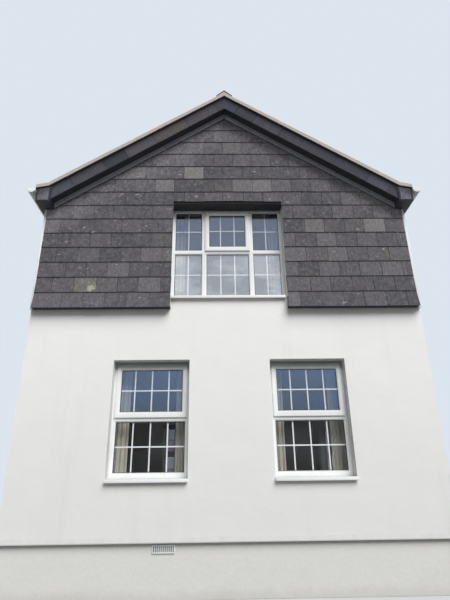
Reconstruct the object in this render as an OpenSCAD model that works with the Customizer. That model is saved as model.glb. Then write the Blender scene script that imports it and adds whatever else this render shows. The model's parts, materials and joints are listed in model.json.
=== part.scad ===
// Gabled two-storey house wing with a slate-hung upper gable, rendered walls,
// a sprocketed slate roof and moulded plastic windows.
// X runs across the gable, Y along the ridge, and Z up. The front gable faces -Y.
// The origin lies at ground level in the middle of the footprint. Sizes are in millimetres.

/* [Walls] */
// Width of each gable wall over its render
wall_w = 5400; // [4800:50:6600]
// Length of the wing over the render of both gables
wall_len = 6600; // [5600:50:8400]
// Thickness of the rendered outer walls
wall_t = 300; // [270:10:360]
// Height of the plinth from the ground to the render's drip
plinth_h = 570; // [400:10:590]
// Distance that the plinth stands back from the render
plinth_back = 25; // [10:5:50]
// Height of the side walls above the heads of their upper windows
plate_over = 200; // [120:10:400]
// Distance that the render's drip kicks out
drip_out = 22; // [12:2:30]
// Height over which the render kicks out to its drip
drip_rise = 60; // [40:5:90]

/* [Floors] */
// Height of the ground floor's surface above the plinth's top
ground_floor_up = 30; // [20:5:120]
// Height of the lower ceiling above the heads of the ground-floor windows
lower_ceiling_up = 60; // [50:5:200]
// Depth of the first floor from its boards to the ceiling below
first_floor_t = 250; // [180:10:300]
// Height of the upper ceiling above the top of the side walls
ceiling_up = 390; // [300:10:600]
// Depth of the upper ceiling
ceiling_t = 100; // [60:10:150]

/* [Roof] */
// Pitch of the main slopes in degrees
roof_pitch = 34; // [30:1:40]
// Pitch of the flatter foot of each slope in degrees
foot_pitch = 11; // [5:1:20]
// Distance inside the wall face at which the slope turns flatter
foot_in = 100; // [60:10:200]
// Depth of the rafters and boarding, square to the slope
deck_t = 150; // [120:5:180]
// Build-up of battens and lapped slates, square to the slope
slates_t = 50; // [40:2:60]
// Step at the tail of each course of slates
slate_step = 10; // [6:1:14]
// Exposed length of a roof slate along the slope
roof_gauge = 245; // [200:5:270]
// Distance that the slates pass the fascia into the gutter
eaves_lap = 16; // [10:1:30]
// Thickness of the roof slates at the eaves
eaves_edge_t = 48; // [36:2:56]
// Distance from the gable's render to the edge of the verge
verge_out = 305; // [240:5:360]
// Width of each wing of the ridge tiles, measured level
ridge_wing = 150; // [110:10:200]
// Thickness of the ridge tiles
ridge_t = 18; // [12:2:26]
// Depth of the mortar bed under the ridge tiles
ridge_bed = 30; // [15:1:40]

/* [Verge] */
// Depth of the slate-clad bargeboard, square to the slope
barge_h = 200; // [180:5:240]
// Thickness of the bargeboard with its slates
barge_t = 30; // [22:2:40]
// Distance that the verge passes the bargeboard's face
verge_lap = 30; // [15:5:45]
// Thickness of the slate under the verge's bedding
undercloak_t = 12; // [8:1:16]
// Thickness of the bedding that points the verge
pointing_t = 12; // [8:1:20]
// Thickness of the soffit boards
soffit_t = 12; // [9:1:18]
// Width of the boxed eaves outside the side wall
eaves_out = 70; // [60:5:140]
// Distance from the fascia back to the boxed end's inner edge
box_w = 210; // [180:5:260]
// Distance that the boxed end stands proud of the bargeboard
box_proud = 12; // [6:2:20]
// Thickness of the fascia boards
fascia_t = 18; // [15:1:25]

/* [Gutters] */
// Outer radius of the half-round gutter
gutter_r = 65; // [50:1:75]
// Wall thickness of the gutter
gutter_t = 4; // [3:0.5:6]
// Height of the rolled lip on the gutter's outer rim
gutter_lip = 4; // [2:0.5:6]
// Clear gap from the verge's underside to the gutter's rim
gutter_drop = 3; // [2:1:20]
// Distance from the fascia to the back of the gutter
gutter_off = 12; // [8:1:20]
// Thickness of the gutter brackets' straps
bracket_t = 4; // [3:0.5:6]
// Width of a gutter bracket along the eaves
bracket_w = 30; // [20:5:40]
// Distance between the gutter brackets
bracket_pitch = 900; // [600:50:1200]

/* [Slate hanging] */
// Drop from the foot of the upper openings to the bottom edge of the slate hanging
hanging_drop = 165; // [60:5:300]
// Distance from the render to the tails of the hung slates
hanging_t = 70; // [55:5:90]
// Step at the tail of each course of hung slates
hanging_step = 9; // [6:1:12]
// Exposed height of a hung slate
hanging_gauge = 239; // [200:1:270]
// Extra distance that the bottom course kicks out
bell_out = 50; // [20:5:70]
// Share of the kick that is left in each course above
bell_fall = 0.3; // [0.1:0.05:0.5]
// Distance that the slate hanging laps over each side of the gable window's opening
notch_lap = 37; // [0:1:60]
// Width of the course of cut slates that follows the rake, square to the slope
rake_w = 70; // [50:5:120]
// Width of the pale trims between the slate hanging and the wall's corners
edge_trim_w = 32; // [15:1:45]

/* [Windows] */
// Distance that the window group stands right of the wall's middle
group_shift = 25; // [-60:5:60]
// Distance between the middles of the ground-floor windows
lower_spacing = 2065; // [1700:5:2500]
// Width of a single window's opening
single_w = 1000; // [800:10:1150]
// Height of the ground-floor openings' foot above the plinth's top
lower_foot_up = 657; // [550:1:900]
// Height of a ground-floor window frame
lower_frame_h = 1468; // [1300:1:1500]
// Height of the transom's middle above a ground-floor frame's foot
lower_transom_z = 720; // [600:1:760]
// Width of the first-floor gable window's opening
triple_w = 1675; // [1400:5:1900]
// Height of the first-floor openings' foot above the first floor
upper_foot_up = 565; // [450:5:800]
// Height of the first-floor gable window's frame
upper_frame_h = 1505; // [1300:5:1550]
// Height of the transom's middle above a first-floor frame's foot
upper_transom_z = 766; // [600:1:800]
// Distance between the middles of the gable window's mullions
mullion_spacing = 700; // [560:10:800]
// Height of a first-floor side window's frame
side_frame_h = 1200; // [1100:5:1350]
// Height of the transom's middle above a side window frame's foot
side_transom_z = 590; // [540:1:640]
// Distance between the middles of the side windows
side_spacing = 2900; // [2200:50:3200]
// Distance from the render to the face of the window frames
reveal_d = 140; // [100:5:180]
// Depth of the window frames
frame_d = 70; // [60:2:80]
// Face width of the outer frame members
frame_face = 55; // [45:1:70]
// Face height of the outer frame's foot
foot_face = 68; // [50:1:80]
// Face width of the transoms and mullions
bar_face = 74; // [70:1:90]
// Depth and width of the bevel round each light
bevel = 14; // [8:1:18]
// Depth of the bead between a bevel and the glass
bead_d = 4; // [2:1:6]
// Distance that the opening sash stands proud of its frame
sash_proud = 22; // [14:1:30]
// Chamfer round the opening sash's outer edge
sash_chamfer = 6; // [3:1:10]
// Distance that the opening sash laps over its frame
sash_lap = 25; // [15:1:32]
// Face width of the opening sash's stiles
sash_face = 65; // [58:1:80]
// Face height of the opening sash's rails
sash_rail = 78; // [58:1:90]
// Distance that the sash's body reaches into the frame
sash_body_d = 40; // [34:1:50]
// Clearance round the sash's body in its frame
sash_gap = 4; // [2:0.5:6]
// Thickness of the sealed glass units
glass_t = 24; // [16:2:28]
// Depth of the glass's edge held in the frame
glass_bite = 9; // [6:1:12]
// Height of the sill under the frame
sill_h = 45; // [35:1:60]
// Distance that the sill stands out from the render
sill_out = 50; // [30:5:70]
// Height of the sill's front nose
nose_h = 40; // [22:1:44]
// Thickness of the sill's downturned drip
nose_t = 18; // [12:1:24]
// Drop of the sill's drip below its underside
nose_drop = 8; // [4:1:14]

/* [Air vent] */
// Width of the air vent's cover
vent_w = 262; // [200:2:300]
// Height of the air vent's cover
vent_h = 90; // [70:5:110]
// Thickness of the air vent's cover
vent_t = 12; // [8:1:16]
// Distance of the air vent's middle left of the wall's middle
vent_left = 773; // [400:1:1200]
// Drop from the render's drip to the top of the air vent
vent_drop = 18; // [4:1:40]
// Number of slots in the air vent
vent_slots = 11; // [7:1:13]
// Width of the border round the air vent's slots
vent_border = 12; // [8:1:18]
// Width of the bars between the air vent's slots
vent_bar = 10; // [6:1:12]
// Depth of the duct's mouth behind the air vent
vent_duct_d = 120; // [60:10:160]

/* [Curtains] */
// Width of one gathered curtain
curtain_w = 300; // [200:10:360]
// Distance from a window's edge to its curtain's outer edge
curtain_over = 110; // [60:10:150]
// Thickness of the curtain cloth with its lining
curtain_t = 6; // [4:1:10]
// Depth of the curtain's pleats to each side of the rail
pleat_d = 24; // [14:1:30]
// Distance between the curtain's pleats
pleat_pitch = 60; // [50:5:80]
// Diameter of the curtain rails
rail_d = 22; // [16:1:28]
// Distance from the wall's inner face to a curtain rail
rail_off = 60; // [50:5:90]
// Distance from the window's head up to the curtain rail
rail_up = 22; // [18:1:34]
// Distance from the window's foot down to the curtain's hem
hem_down = 60; // [0:10:120]
// Clearance between a rail and the curtain that hangs under it
rail_gap = 0.3; // [0.2:0.1:1]

/* [Hidden] */
$fn = 48;
eps = 1;
// Straight steps in each pleat of a curtain
pleat_steps = 8;
// Heights above the ground, from the plinth up to the side walls' top
ground_floor_z = plinth_h + ground_floor_up;
lower_foot_z = plinth_h + lower_foot_up;
lower_head_z = lower_foot_z + sill_h + lower_frame_h;
first_floor_z = lower_head_z + lower_ceiling_up + first_floor_t;
upper_foot_z = first_floor_z + upper_foot_up;
upper_head_z = upper_foot_z + sill_h + upper_frame_h;
side_head_z = upper_foot_z + sill_h + side_frame_h;
hanging_z = upper_foot_z - hanging_drop;
plate_h = side_head_z + plate_over;
ceiling_z = plate_h + ceiling_up;
half_w = wall_w / 2;
half_len = wall_len / 2;
room_x = half_w - wall_t;
room_y = half_len - wall_t;
pitch_tan = tan(roof_pitch);
foot_tan = tan(foot_pitch);
// Roof lines: under_z is the rafters' underside and deck_z the top of the boarding
foot_x = half_w - foot_in;
fascia_x = half_w + eaves_out;
eaves_x = fascia_x + eaves_lap;
box_x = fascia_x - box_w;
under_apex = plate_h + half_w * pitch_tan;
deck_apex = under_apex + deck_t / cos(roof_pitch);
soffit_z = plate_h - soffit_t;
function under_z(x) = under_apex - abs(x) * pitch_tan;
function deck_z(x) = deck_apex - min(abs(x), foot_x) * pitch_tan - max(abs(x) - foot_x, 0) * foot_tan;
function rise(t) = t / cos(roof_pitch);
// Distances outward from a gable's render
barge_out = verge_out - verge_lap;
barge_back = barge_out - barge_t;
// A slate course line on the right-hand slope, s along the slope and h square to it
function slope_point(s, h) = [
    foot_x - s * cos(roof_pitch) + h * sin(roof_pitch),
    deck_z(foot_x) + s * sin(roof_pitch) + h * cos(roof_pitch)];
// Whole courses from the flatter foot to the ridge tiles; a full-thickness top course lies under the tiles
bed_x = ridge_wing - ridge_t;
roof_courses = floor((foot_x - bed_x) / cos(roof_pitch) / roof_gauge);
hanging_courses = ceil((under_apex - hanging_z) / hanging_gauge);
function bell(i) = bell_out * pow(bell_fall, i);
notch_w = triple_w - 2 * notch_lap;
// Windows
lower_xs = [group_shift - lower_spacing / 2, group_shift + lower_spacing / 2];
side_ys = [-side_spacing / 2, side_spacing / 2];
fixed_glass_y = bevel + bead_d;
sash_glass_y = bevel - sash_proud + bead_d;
// Air vent
vent_pitch = (vent_w - 2 * vent_border + vent_bar) / vent_slots;
vent_z = plinth_h - vent_drop - vent_h;
// Colours
render_white = [0.86, 0.86, 0.85];
plinth_white = [0.80, 0.79, 0.77];
slate_grey = [0.33, 0.32, 0.34];
plastic_white = [0.93, 0.94, 0.94];
soffit_dark = [0.13, 0.13, 0.15];
mortar_buff = [0.70, 0.63, 0.52];
timber = [0.66, 0.52, 0.36];
plaster = [0.84, 0.82, 0.78];
glass_tint = [0.35, 0.42, 0.50, 0.5];
cloth_cream = [0.80, 0.79, 0.72];

// Placing helpers
module on_front() {
    translate([0, -half_len, 0]) children();
}
module on_back() {
    mirror([0, 1, 0]) on_front() children();
}
module on_sides() {
    for (turn = [90, -90], y = side_ys)
        rotate([0, 0, turn])
            translate([y, -half_w, 0]) children();
}
// Raises a drawing of the gable's face, thick from y0 outward to y1 outward
module gable_slab(out_from, out_to) {
    translate([0, -out_from, 0]) rotate([90, 0, 0]) linear_extrude(out_to - out_from) children();
}
// Draws a cross section of the wing along Y, reaching past the render by out
module along_ridge(out) {
    translate([0, half_len + out, 0]) rotate([90, 0, 0]) linear_extrude(wall_len + 2 * out) children();
}
// Draws a vertical section, out from the wall and up, along X
module along_wall(w) {
    translate([-w / 2, 0, 0]) rotate([90, 0, 90]) linear_extrude(w) children();
}
// A block w by h at its foot that narrows by inset on each side over its height
module frustum(w, h, height, inset) {
    foot = [for (p = [[-1, -1], [1, -1], [1, 1], [-1, 1]]) [p[0] * w / 2, p[1] * h / 2, 0]];
    top = [for (p = foot) [p[0] - sign(p[0]) * inset, p[1] - sign(p[1]) * inset, height]];
    polyhedron(concat(foot, top), [[0, 1, 2, 3], [7, 6, 5, 4], [0, 4, 5, 1], [1, 5, 6, 2], [2, 6, 7, 3],
        [3, 7, 4, 0]]);
}
// A chevron between two offsets from the boarding's top, as wide as x_end.
// Past the flatter foot its top falls to end_high.
module chevron(low, high, x_end, end_high = 0) {
    xs = x_end > foot_x ? [-x_end, -foot_x, 0, foot_x, x_end] : [-x_end, 0, x_end];
    top = [for (x = xs) [x, deck_z(x) + (abs(x) > foot_x ? end_high : rise(high))]];
    foot = [for (i = [len(xs) - 1:-1:0]) [xs[i], deck_z(xs[i]) + rise(low)]];
    polygon(concat(top, foot));
}

// Plinth, floors and walls
module plinth() {
    outer_w = wall_w - 2 * plinth_back;
    outer_len = wall_len - 2 * plinth_back;
    color(plinth_white) difference() {
        translate([-outer_w / 2, -outer_len / 2, 0]) cube([outer_w, outer_len, plinth_h]);
        translate([-room_x, -room_y, -eps]) cube([2 * room_x, 2 * room_y, plinth_h + 2 * eps]);
        translate([-vent_left - vent_w / 2 + vent_border, -outer_len / 2 - eps, vent_z + vent_border])
            cube([vent_w - 2 * vent_border, vent_duct_d + eps, vent_h - 2 * vent_border]);
    }
}
module ground_floor() {
    color(plaster) translate([-room_x, -room_y, 0]) cube([2 * room_x, 2 * room_y, ground_floor_z]);
}
module first_floor() {
    color(timber) translate([-room_x, -room_y, first_floor_z - first_floor_t])
        cube([2 * room_x, 2 * room_y, first_floor_t]);
}
module attic_ceiling() {
    foot = (under_apex - ceiling_z) / pitch_tan;
    top = (under_apex - ceiling_z - ceiling_t) / pitch_tan;
    color(plaster) along_ridge(-wall_t) polygon([[-foot, ceiling_z], [foot, ceiling_z],
        [top, ceiling_z + ceiling_t], [-top, ceiling_z + ceiling_t]]);
}
module gable_wall() {
    color(render_white) difference() {
        gable_slab(-wall_t, 0) polygon([[-half_w, plinth_h], [half_w, plinth_h], [half_w, plate_h],
            [0, under_apex], [-half_w, plate_h]]);
        for (x = lower_xs) opening(x, single_w, lower_foot_z, lower_head_z);
        opening(group_shift, triple_w, upper_foot_z, upper_head_z);
    }
}
module opening(x, w, foot_z, head_z) {
    translate([x - w / 2, -eps, foot_z]) cube([w, wall_t + 2 * eps, head_z - foot_z]);
}
module side_wall() {
    inner_len = wall_len - 2 * wall_t;
    color(render_white) difference() {
        translate([0, inner_len / 2, 0]) rotate([90, 0, 0]) linear_extrude(inner_len)
            polygon([[room_x, plinth_h], [half_w, plinth_h], [half_w, plate_h],
                [room_x, under_z(room_x)]]);
        rotate([0, 0, 90]) translate([0, -half_w, 0]) for (y = side_ys) {
            opening(y, single_w, lower_foot_z, lower_head_z);
            opening(y, single_w, upper_foot_z, side_head_z);
        }
    }
}
module render_drip() {
    full_w = wall_w + 2 * drip_out;
    full_len = wall_len + 2 * drip_out;
    lip = drip_out / 2;
    color(render_white) difference() {
        translate([0, 0, plinth_h]) union() {
            translate([-full_w / 2, -full_len / 2, 0]) cube([full_w, full_len, lip]);
            translate([0, 0, lip]) frustum(full_w, full_len, drip_rise - lip, drip_out);
        }
        translate([-half_w, -half_len, plinth_h - eps]) cube([wall_w, wall_len, drip_rise + 2 * eps]);
    }
}

// Roof
module roof_deck() {
    end_x = fascia_x - fascia_t;
    color(timber) along_ridge(barge_back) polygon([[0, under_apex], [half_w, plate_h], [end_x, plate_h],
        [end_x, deck_z(end_x)], [foot_x, deck_z(foot_x)], [0, deck_apex]]);
}
module roof_slates() {
    courses = [for (i = [0:roof_courses - 1], end = [0, 1])
        slope_point((i + end) * roof_gauge, slates_t - end * slate_step)];
    color(slate_grey) along_ridge(verge_out - pointing_t)
        polygon(concat([[0, deck_apex], [foot_x, deck_z(foot_x)], [eaves_x, deck_z(eaves_x)],
            [eaves_x, deck_z(eaves_x) + eaves_edge_t], slope_point(0, slates_t - slate_step)], courses,
            [slope_point(roof_courses * roof_gauge, slates_t), [0, deck_apex + rise(slates_t)]]));
}
module ridge_tiles() {
    tile_foot = slates_t + ridge_bed;
    color(slate_grey) union() {
        along_ridge(verge_out) chevron(tile_foot, tile_foot + ridge_t, ridge_wing);
        along_ridge(verge_out) chevron(slates_t, tile_foot + ridge_t / 2, bed_x);
    }
}

// Slate hanging: a lapped section along the wall, cut to the gable's outline,
// under a course of cut slates that follows the rake
module slate_hanging() {
    section = [for (i = [0:hanging_courses - 1], end = [0, 1])
        [-hanging_t - bell(i + end) + end * hanging_step, hanging_z + (i + end) * hanging_gauge]];
    top_z = hanging_z + hanging_courses * hanging_gauge;
    deepest = hanging_t + bell_out + eps;
    color(slate_grey) difference() {
        union() {
            intersection() {
                along_wall(wall_w - 2 * edge_trim_w) polygon(concat([[0, top_z], [0, hanging_z]], section));
                gable_slab(-eps, deepest) polygon([[-half_w, hanging_z - eps], [half_w, hanging_z - eps],
                    [half_w, soffit_z], [box_x, soffit_z], [box_x, under_z(box_x) - rise(soffit_t)],
                    [0, under_apex - rise(soffit_t)], [-box_x, under_z(box_x) - rise(soffit_t)],
                    [-box_x, soffit_z], [-half_w, soffit_z]]);
            }
            gable_slab(0, hanging_t + hanging_step)
                chevron(-deck_t - soffit_t - rake_w, -deck_t - soffit_t, box_x);
        }
        translate([group_shift - notch_w / 2, -deepest - eps, hanging_z - eps])
            cube([notch_w, deepest + 2 * eps, upper_head_z - hanging_z + eps]);
    }
}
module slate_edge_trims() {
    depth = hanging_t - hanging_step;
    color(plastic_white) for (turn = [0, 1], side = [-1, 1]) mirror([0, turn, 0])
        translate([side * (half_w - edge_trim_w / 2) - edge_trim_w / 2, -half_len - depth, hanging_z])
            cube([edge_trim_w, depth, soffit_z - hanging_z]);
}

// Verge and boxed eaves
module bargeboard() {
    color(slate_grey) gable_slab(barge_back, barge_out) chevron(-barge_h, -undercloak_t, box_x);
}
module verge_soffit() {
    color(soffit_dark) gable_slab(0, barge_back) chevron(-deck_t - soffit_t, -deck_t, box_x);
}
module verge_pointing() {
    color(mortar_buff) union() {
        gable_slab(barge_back, verge_out) chevron(-undercloak_t, 0, eaves_x);
        gable_slab(verge_out - pointing_t, verge_out)
            chevron(-undercloak_t, slates_t - slate_step, eaves_x, eaves_edge_t);
    }
}
module box_ends() {
    color(slate_grey) for (turn = [0, 1]) mirror([turn, 0, 0]) union() {
        gable_slab(barge_back, barge_out + box_proud) polygon([[box_x, soffit_z], [fascia_x, soffit_z],
            [fascia_x, deck_z(fascia_x) - rise(undercloak_t)], [foot_x, deck_z(foot_x) - rise(undercloak_t)],
            [box_x, deck_z(box_x) - rise(undercloak_t)]]);
        gable_slab(0, barge_back) polygon([[box_x, soffit_z], [half_w, soffit_z], [half_w, plate_h],
            [box_x, under_z(box_x)]]);
    }
}
module eaves_box() {
    color(soffit_dark) along_ridge(barge_back) polygon([[half_w, soffit_z], [fascia_x, soffit_z],
        [fascia_x, deck_z(fascia_x)], [fascia_x - fascia_t, deck_z(fascia_x - fascia_t)],
        [fascia_x - fascia_t, plate_h], [half_w, plate_h]]);
}

// Gutters
gutter_x = fascia_x + gutter_off + gutter_r;
rim_z = deck_z(eaves_x) - rise(undercloak_t) - gutter_drop;
module half_disc(r) {
    difference() {
        circle(r);
        translate([-2 * r, 0]) square([4 * r, 2 * r]);
    }
}
module half_ring(r_out, r_in) {
    difference() {
        half_disc(r_out);
        circle(r_in);
    }
}
module gutter() {
    color(plastic_white) translate([gutter_x, 0, rim_z]) union() {
        along_ridge(verge_out - gutter_t) half_ring(gutter_r, gutter_r - gutter_t);
        along_ridge(verge_out) translate([gutter_r - gutter_lip, 0]) rotate(180) half_disc(gutter_lip);
        for (turn = [0, 1]) mirror([0, turn, 0]) translate([0, -half_len - verge_out + gutter_t, 0])
            rotate([90, 0, 0]) linear_extrude(gutter_t) half_disc(gutter_r);
    }
}
module gutter_brackets() {
    count = floor((wall_len + verge_out) / bracket_pitch);
    color(plastic_white) for (turn = [0, 1], i = [0:count]) mirror([turn, 0, 0])
        translate([0, (i - count / 2) * bracket_pitch + bracket_w / 2, 0]) rotate([90, 0, 0])
            linear_extrude(bracket_w) {
                translate([gutter_x, rim_z]) half_ring(gutter_r + bracket_t, gutter_r);
                translate([fascia_x, rim_z - gutter_r]) square([gutter_off, gutter_r]);
            }
}

// Windows. Each unit is drawn with its foot's middle at the origin and its frame's face at y = 0.
// A light is [middle x, foot z, width, height] of the clear hole in the frame.
function single_lights(h, transom_z) = [
    [0, foot_face, single_w - 2 * frame_face, transom_z - bar_face / 2 - foot_face],
    [0, transom_z + bar_face / 2, single_w - 2 * frame_face, h - frame_face - transom_z - bar_face / 2]];
function triple_lights() = let(
        middle_w = mullion_spacing - bar_face,
        side_w = triple_w / 2 - frame_face - mullion_spacing / 2 - bar_face / 2,
        side_x = (triple_w / 2 - frame_face) - side_w / 2,
        foot_h = upper_transom_z - bar_face / 2 - foot_face,
        head_z = upper_transom_z + bar_face / 2,
        head_h = upper_frame_h - frame_face - head_z)
    [[-side_x, foot_face, side_w, foot_h], [0, foot_face, middle_w, foot_h],
    [side_x, foot_face, side_w, foot_h], [-side_x, head_z, side_w, head_h],
    [side_x, head_z, side_w, head_h], [0, head_z, middle_w, head_h]];
// The last light of each list holds the opening sash
function fixed(lights) = [for (i = [0:len(lights) - 2]) lights[i]];
function sash_of(lights) = lights[len(lights) - 1];
// The clear hole in the sash itself
function sash_light(lights) = let(
        hole = sash_of(lights),
        stile = sash_face - sash_lap,
        rail = sash_rail - sash_lap)
    [hole[0], hole[1] + rail, hole[2] - 2 * stile, hole[3] - 2 * rail];

// A box centred on a light, grown by edge all round
module light_box(light, edge, y_from, y_to) {
    translate([light[0] - light[2] / 2 - edge, y_from, light[1] - edge])
        cube([light[2] + 2 * edge, y_to - y_from, light[3] + 2 * edge]);
}
// A light's bevel, wide at y_from and narrower by depth at y_from + depth
module light_bevel(light, edge, y_from, depth) {
    translate([light[0], y_from, light[1] + light[3] / 2]) rotate([-90, 0, 0])
        frustum(light[2] + 2 * edge, light[3] + 2 * edge, depth, depth);
}
module window_frame(w, h, lights) {
    difference() {
        translate([-w / 2, 0, 0]) cube([w, frame_d, h]);
        for (light = fixed(lights)) {
            light_box(light, 0, -eps, frame_d + eps);
            light_bevel(light, bevel, 0, bevel);
            light_box(light, glass_bite, fixed_glass_y, fixed_glass_y + glass_t);
        }
        light_box(sash_of(lights), 0, -eps, frame_d + eps);
    }
}
module sash(lights) {
    hole = sash_of(lights);
    clear = sash_light(lights);
    difference() {
        union() {
            light_box(hole, -sash_gap, 0, sash_body_d);
            light_box(hole, sash_lap, sash_chamfer - sash_proud, 0);
            translate([0, -sash_proud, 0]) sash_front(hole);
        }
        light_box(clear, 0, -sash_proud - eps, sash_body_d + eps);
        light_bevel(clear, bevel, -sash_proud, bevel);
        light_box(clear, glass_bite, sash_glass_y, sash_glass_y + glass_t);
    }
}
// The sash's chamfered front edge, narrow at the face
module sash_front(hole) {
    translate([hole[0], sash_chamfer, hole[1] + hole[3] / 2]) rotate([90, 0, 0])
        frustum(hole[2] + 2 * sash_lap, hole[3] + 2 * sash_lap, sash_chamfer, sash_chamfer);
}
module glass(lights) {
    for (light = fixed(lights)) light_box(light, glass_bite, fixed_glass_y, fixed_glass_y + glass_t);
    light_box(sash_light(lights), glass_bite, sash_glass_y, sash_glass_y + glass_t);
}
// A moulded sill with its foot at the origin's height and the render at y = 0.
// In front of the render it stops short of the opening's sides by notch.
module sill(w, notch = 0) {
    difference() {
        along_wall(w) polygon([[reveal_d + frame_d, 0], [reveal_d + frame_d, sill_h], [reveal_d, sill_h],
            [-sill_out, nose_h - nose_drop], [-sill_out, -nose_drop], [nose_t - sill_out, -nose_drop],
            [nose_t - sill_out, 0]]);
        if (notch > 0) for (side = [-1, 1])
            translate([side * (w - notch + eps) / 2 - (notch + eps) / 2, -sill_out - eps, -nose_drop - eps])
                cube([notch + eps, sill_out + eps, sill_h + nose_drop + 2 * eps]);
    }
}
// Puts one of a unit's pieces at its place in a gable or in a side wall
module at_sill(x, foot_z) {
    translate([x, reveal_d, foot_z + sill_h]) children();
}
lower_lights = single_lights(lower_frame_h, lower_transom_z);
side_lights = single_lights(side_frame_h, side_transom_z);
module gable_frames() {
    color(plastic_white) {
        for (x = lower_xs) at_sill(x, lower_foot_z) window_frame(single_w, lower_frame_h, lower_lights);
        at_sill(group_shift, upper_foot_z) window_frame(triple_w, upper_frame_h, triple_lights());
    }
}
module gable_sashes() {
    color(plastic_white) {
        for (x = lower_xs) at_sill(x, lower_foot_z) sash(lower_lights);
        at_sill(group_shift, upper_foot_z) sash(triple_lights());
    }
}
module gable_glass() {
    color(glass_tint) {
        for (x = lower_xs) at_sill(x, lower_foot_z) glass(lower_lights);
        at_sill(group_shift, upper_foot_z) glass(triple_lights());
    }
}
module gable_sills() {
    color(plastic_white) {
        for (x = lower_xs) translate([x, 0, lower_foot_z]) sill(single_w);
        translate([group_shift, 0, upper_foot_z]) sill(triple_w, notch_lap);
    }
}
module side_window_frames() {
    color(plastic_white) on_sides() {
        at_sill(0, lower_foot_z) window_frame(single_w, lower_frame_h, lower_lights);
        at_sill(0, upper_foot_z) window_frame(single_w, side_frame_h, side_lights);
    }
}
module side_sashes() {
    color(plastic_white) on_sides() {
        at_sill(0, lower_foot_z) sash(lower_lights);
        at_sill(0, upper_foot_z) sash(side_lights);
    }
}
module side_glass() {
    color(glass_tint) on_sides() {
        at_sill(0, lower_foot_z) glass(lower_lights);
        at_sill(0, upper_foot_z) glass(side_lights);
    }
}
module side_sills() {
    color(plastic_white) on_sides() {
        translate([0, 0, lower_foot_z]) sill(single_w);
        translate([0, 0, upper_foot_z]) sill(single_w);
    }
}

// Air vent and curtains
module air_vent() {
    slot_w = vent_pitch - vent_bar;
    color(plastic_white) translate([-vent_left - vent_w / 2, plinth_back - vent_t, vent_z]) difference() {
        cube([vent_w, vent_t, vent_h]);
        for (i = [0:vent_slots - 1]) translate([vent_border + i * vent_pitch, -eps, vent_border])
            cube([slot_w, vent_t + 2 * eps, vent_h - 2 * vent_border]);
    }
}
rail_y = wall_t + rail_off;
// Windows with curtains: middle, width, foot and head of each opening
curtained = [[lower_xs[0], single_w, lower_foot_z, lower_head_z],
    [lower_xs[1], single_w, lower_foot_z, lower_head_z],
    [group_shift, triple_w, upper_foot_z, upper_head_z]];
module curtain(h) {
    wave = [for (i = [0:floor(pleat_steps * curtain_w / pleat_pitch)]) i * pleat_pitch / pleat_steps];
    front = [for (x = wave) [x, pleat_d * sin(360 * x / pleat_pitch) - curtain_t / 2]];
    back = [for (i = [len(wave) - 1:-1:0]) [front[i][0], front[i][1] + curtain_t]];
    linear_extrude(h) polygon(concat(front, back));
}
module front_curtains() {
    color(cloth_cream) on_front() for (win = curtained, side = [0, 1]) {
        foot = win[2] - hem_down;
        head = win[3] + rail_up - rail_d / 2 - rail_gap;
        translate([win[0], rail_y, foot]) mirror([side, 0, 0])
            translate([-win[1] / 2 - curtain_over, 0, 0]) curtain(head - foot);
    }
}
module front_curtain_rails() {
    color(plastic_white) on_front() for (win = curtained) {
        length = win[1] + 2 * curtain_over + rail_d;
        translate([win[0], rail_y, win[3] + rail_up]) union() {
            rotate([0, 90, 0]) cylinder(h = length, d = rail_d, center = true);
            for (side = [-1, 1]) translate([side * (length / 2 - rail_d), -rail_off / 2, 0])
                cube([rail_d / 2, rail_off, rail_d / 2], center = true);
        }
    }
}

plinth();
ground_floor();
on_front() gable_wall();  // front_wall
on_back() gable_wall();  // back_wall
mirror([1, 0, 0]) side_wall();  // left_wall
side_wall();  // right_wall
render_drip();
first_floor();
attic_ceiling();
mirror([1, 0, 0]) roof_deck();  // left_roof_deck
roof_deck();  // right_roof_deck
mirror([1, 0, 0]) roof_slates();  // left_roof_slates
roof_slates();  // right_roof_slates
ridge_tiles();
on_front() slate_hanging();  // front_slate_hanging
on_back() slate_hanging();  // back_slate_hanging
slate_edge_trims();
on_front() bargeboard();  // front_bargeboard
on_back() bargeboard();  // back_bargeboard
on_front() verge_soffit();  // front_verge_soffit
on_back() verge_soffit();  // back_verge_soffit
on_front() verge_pointing();  // front_verge_pointing
on_back() verge_pointing();  // back_verge_pointing
on_front() box_ends();  // front_box_ends
on_back() box_ends();  // back_box_ends
mirror([1, 0, 0]) eaves_box();  // left_eaves_box
eaves_box();  // right_eaves_box
mirror([1, 0, 0]) gutter();  // left_gutter
gutter();  // right_gutter
gutter_brackets();
on_front() gable_frames();  // front_window_frames
on_back() gable_frames();  // back_window_frames
side_window_frames();
on_front() gable_sashes();  // front_sashes
on_back() gable_sashes();  // back_sashes
side_sashes();
on_front() gable_glass();  // front_glass
on_back() gable_glass();  // back_glass
side_glass();
on_front() gable_sills();  // front_sills
on_back() gable_sills();  // back_sills
side_sills();
on_front() air_vent();
front_curtains();
front_curtain_rails();
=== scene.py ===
"""A gabled house wing with a slate-hung upper gable, finished over its plain parts. Sizes are in metres."""
import json
import math
import random

import bpy
from mathutils import Matrix, Vector

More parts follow.
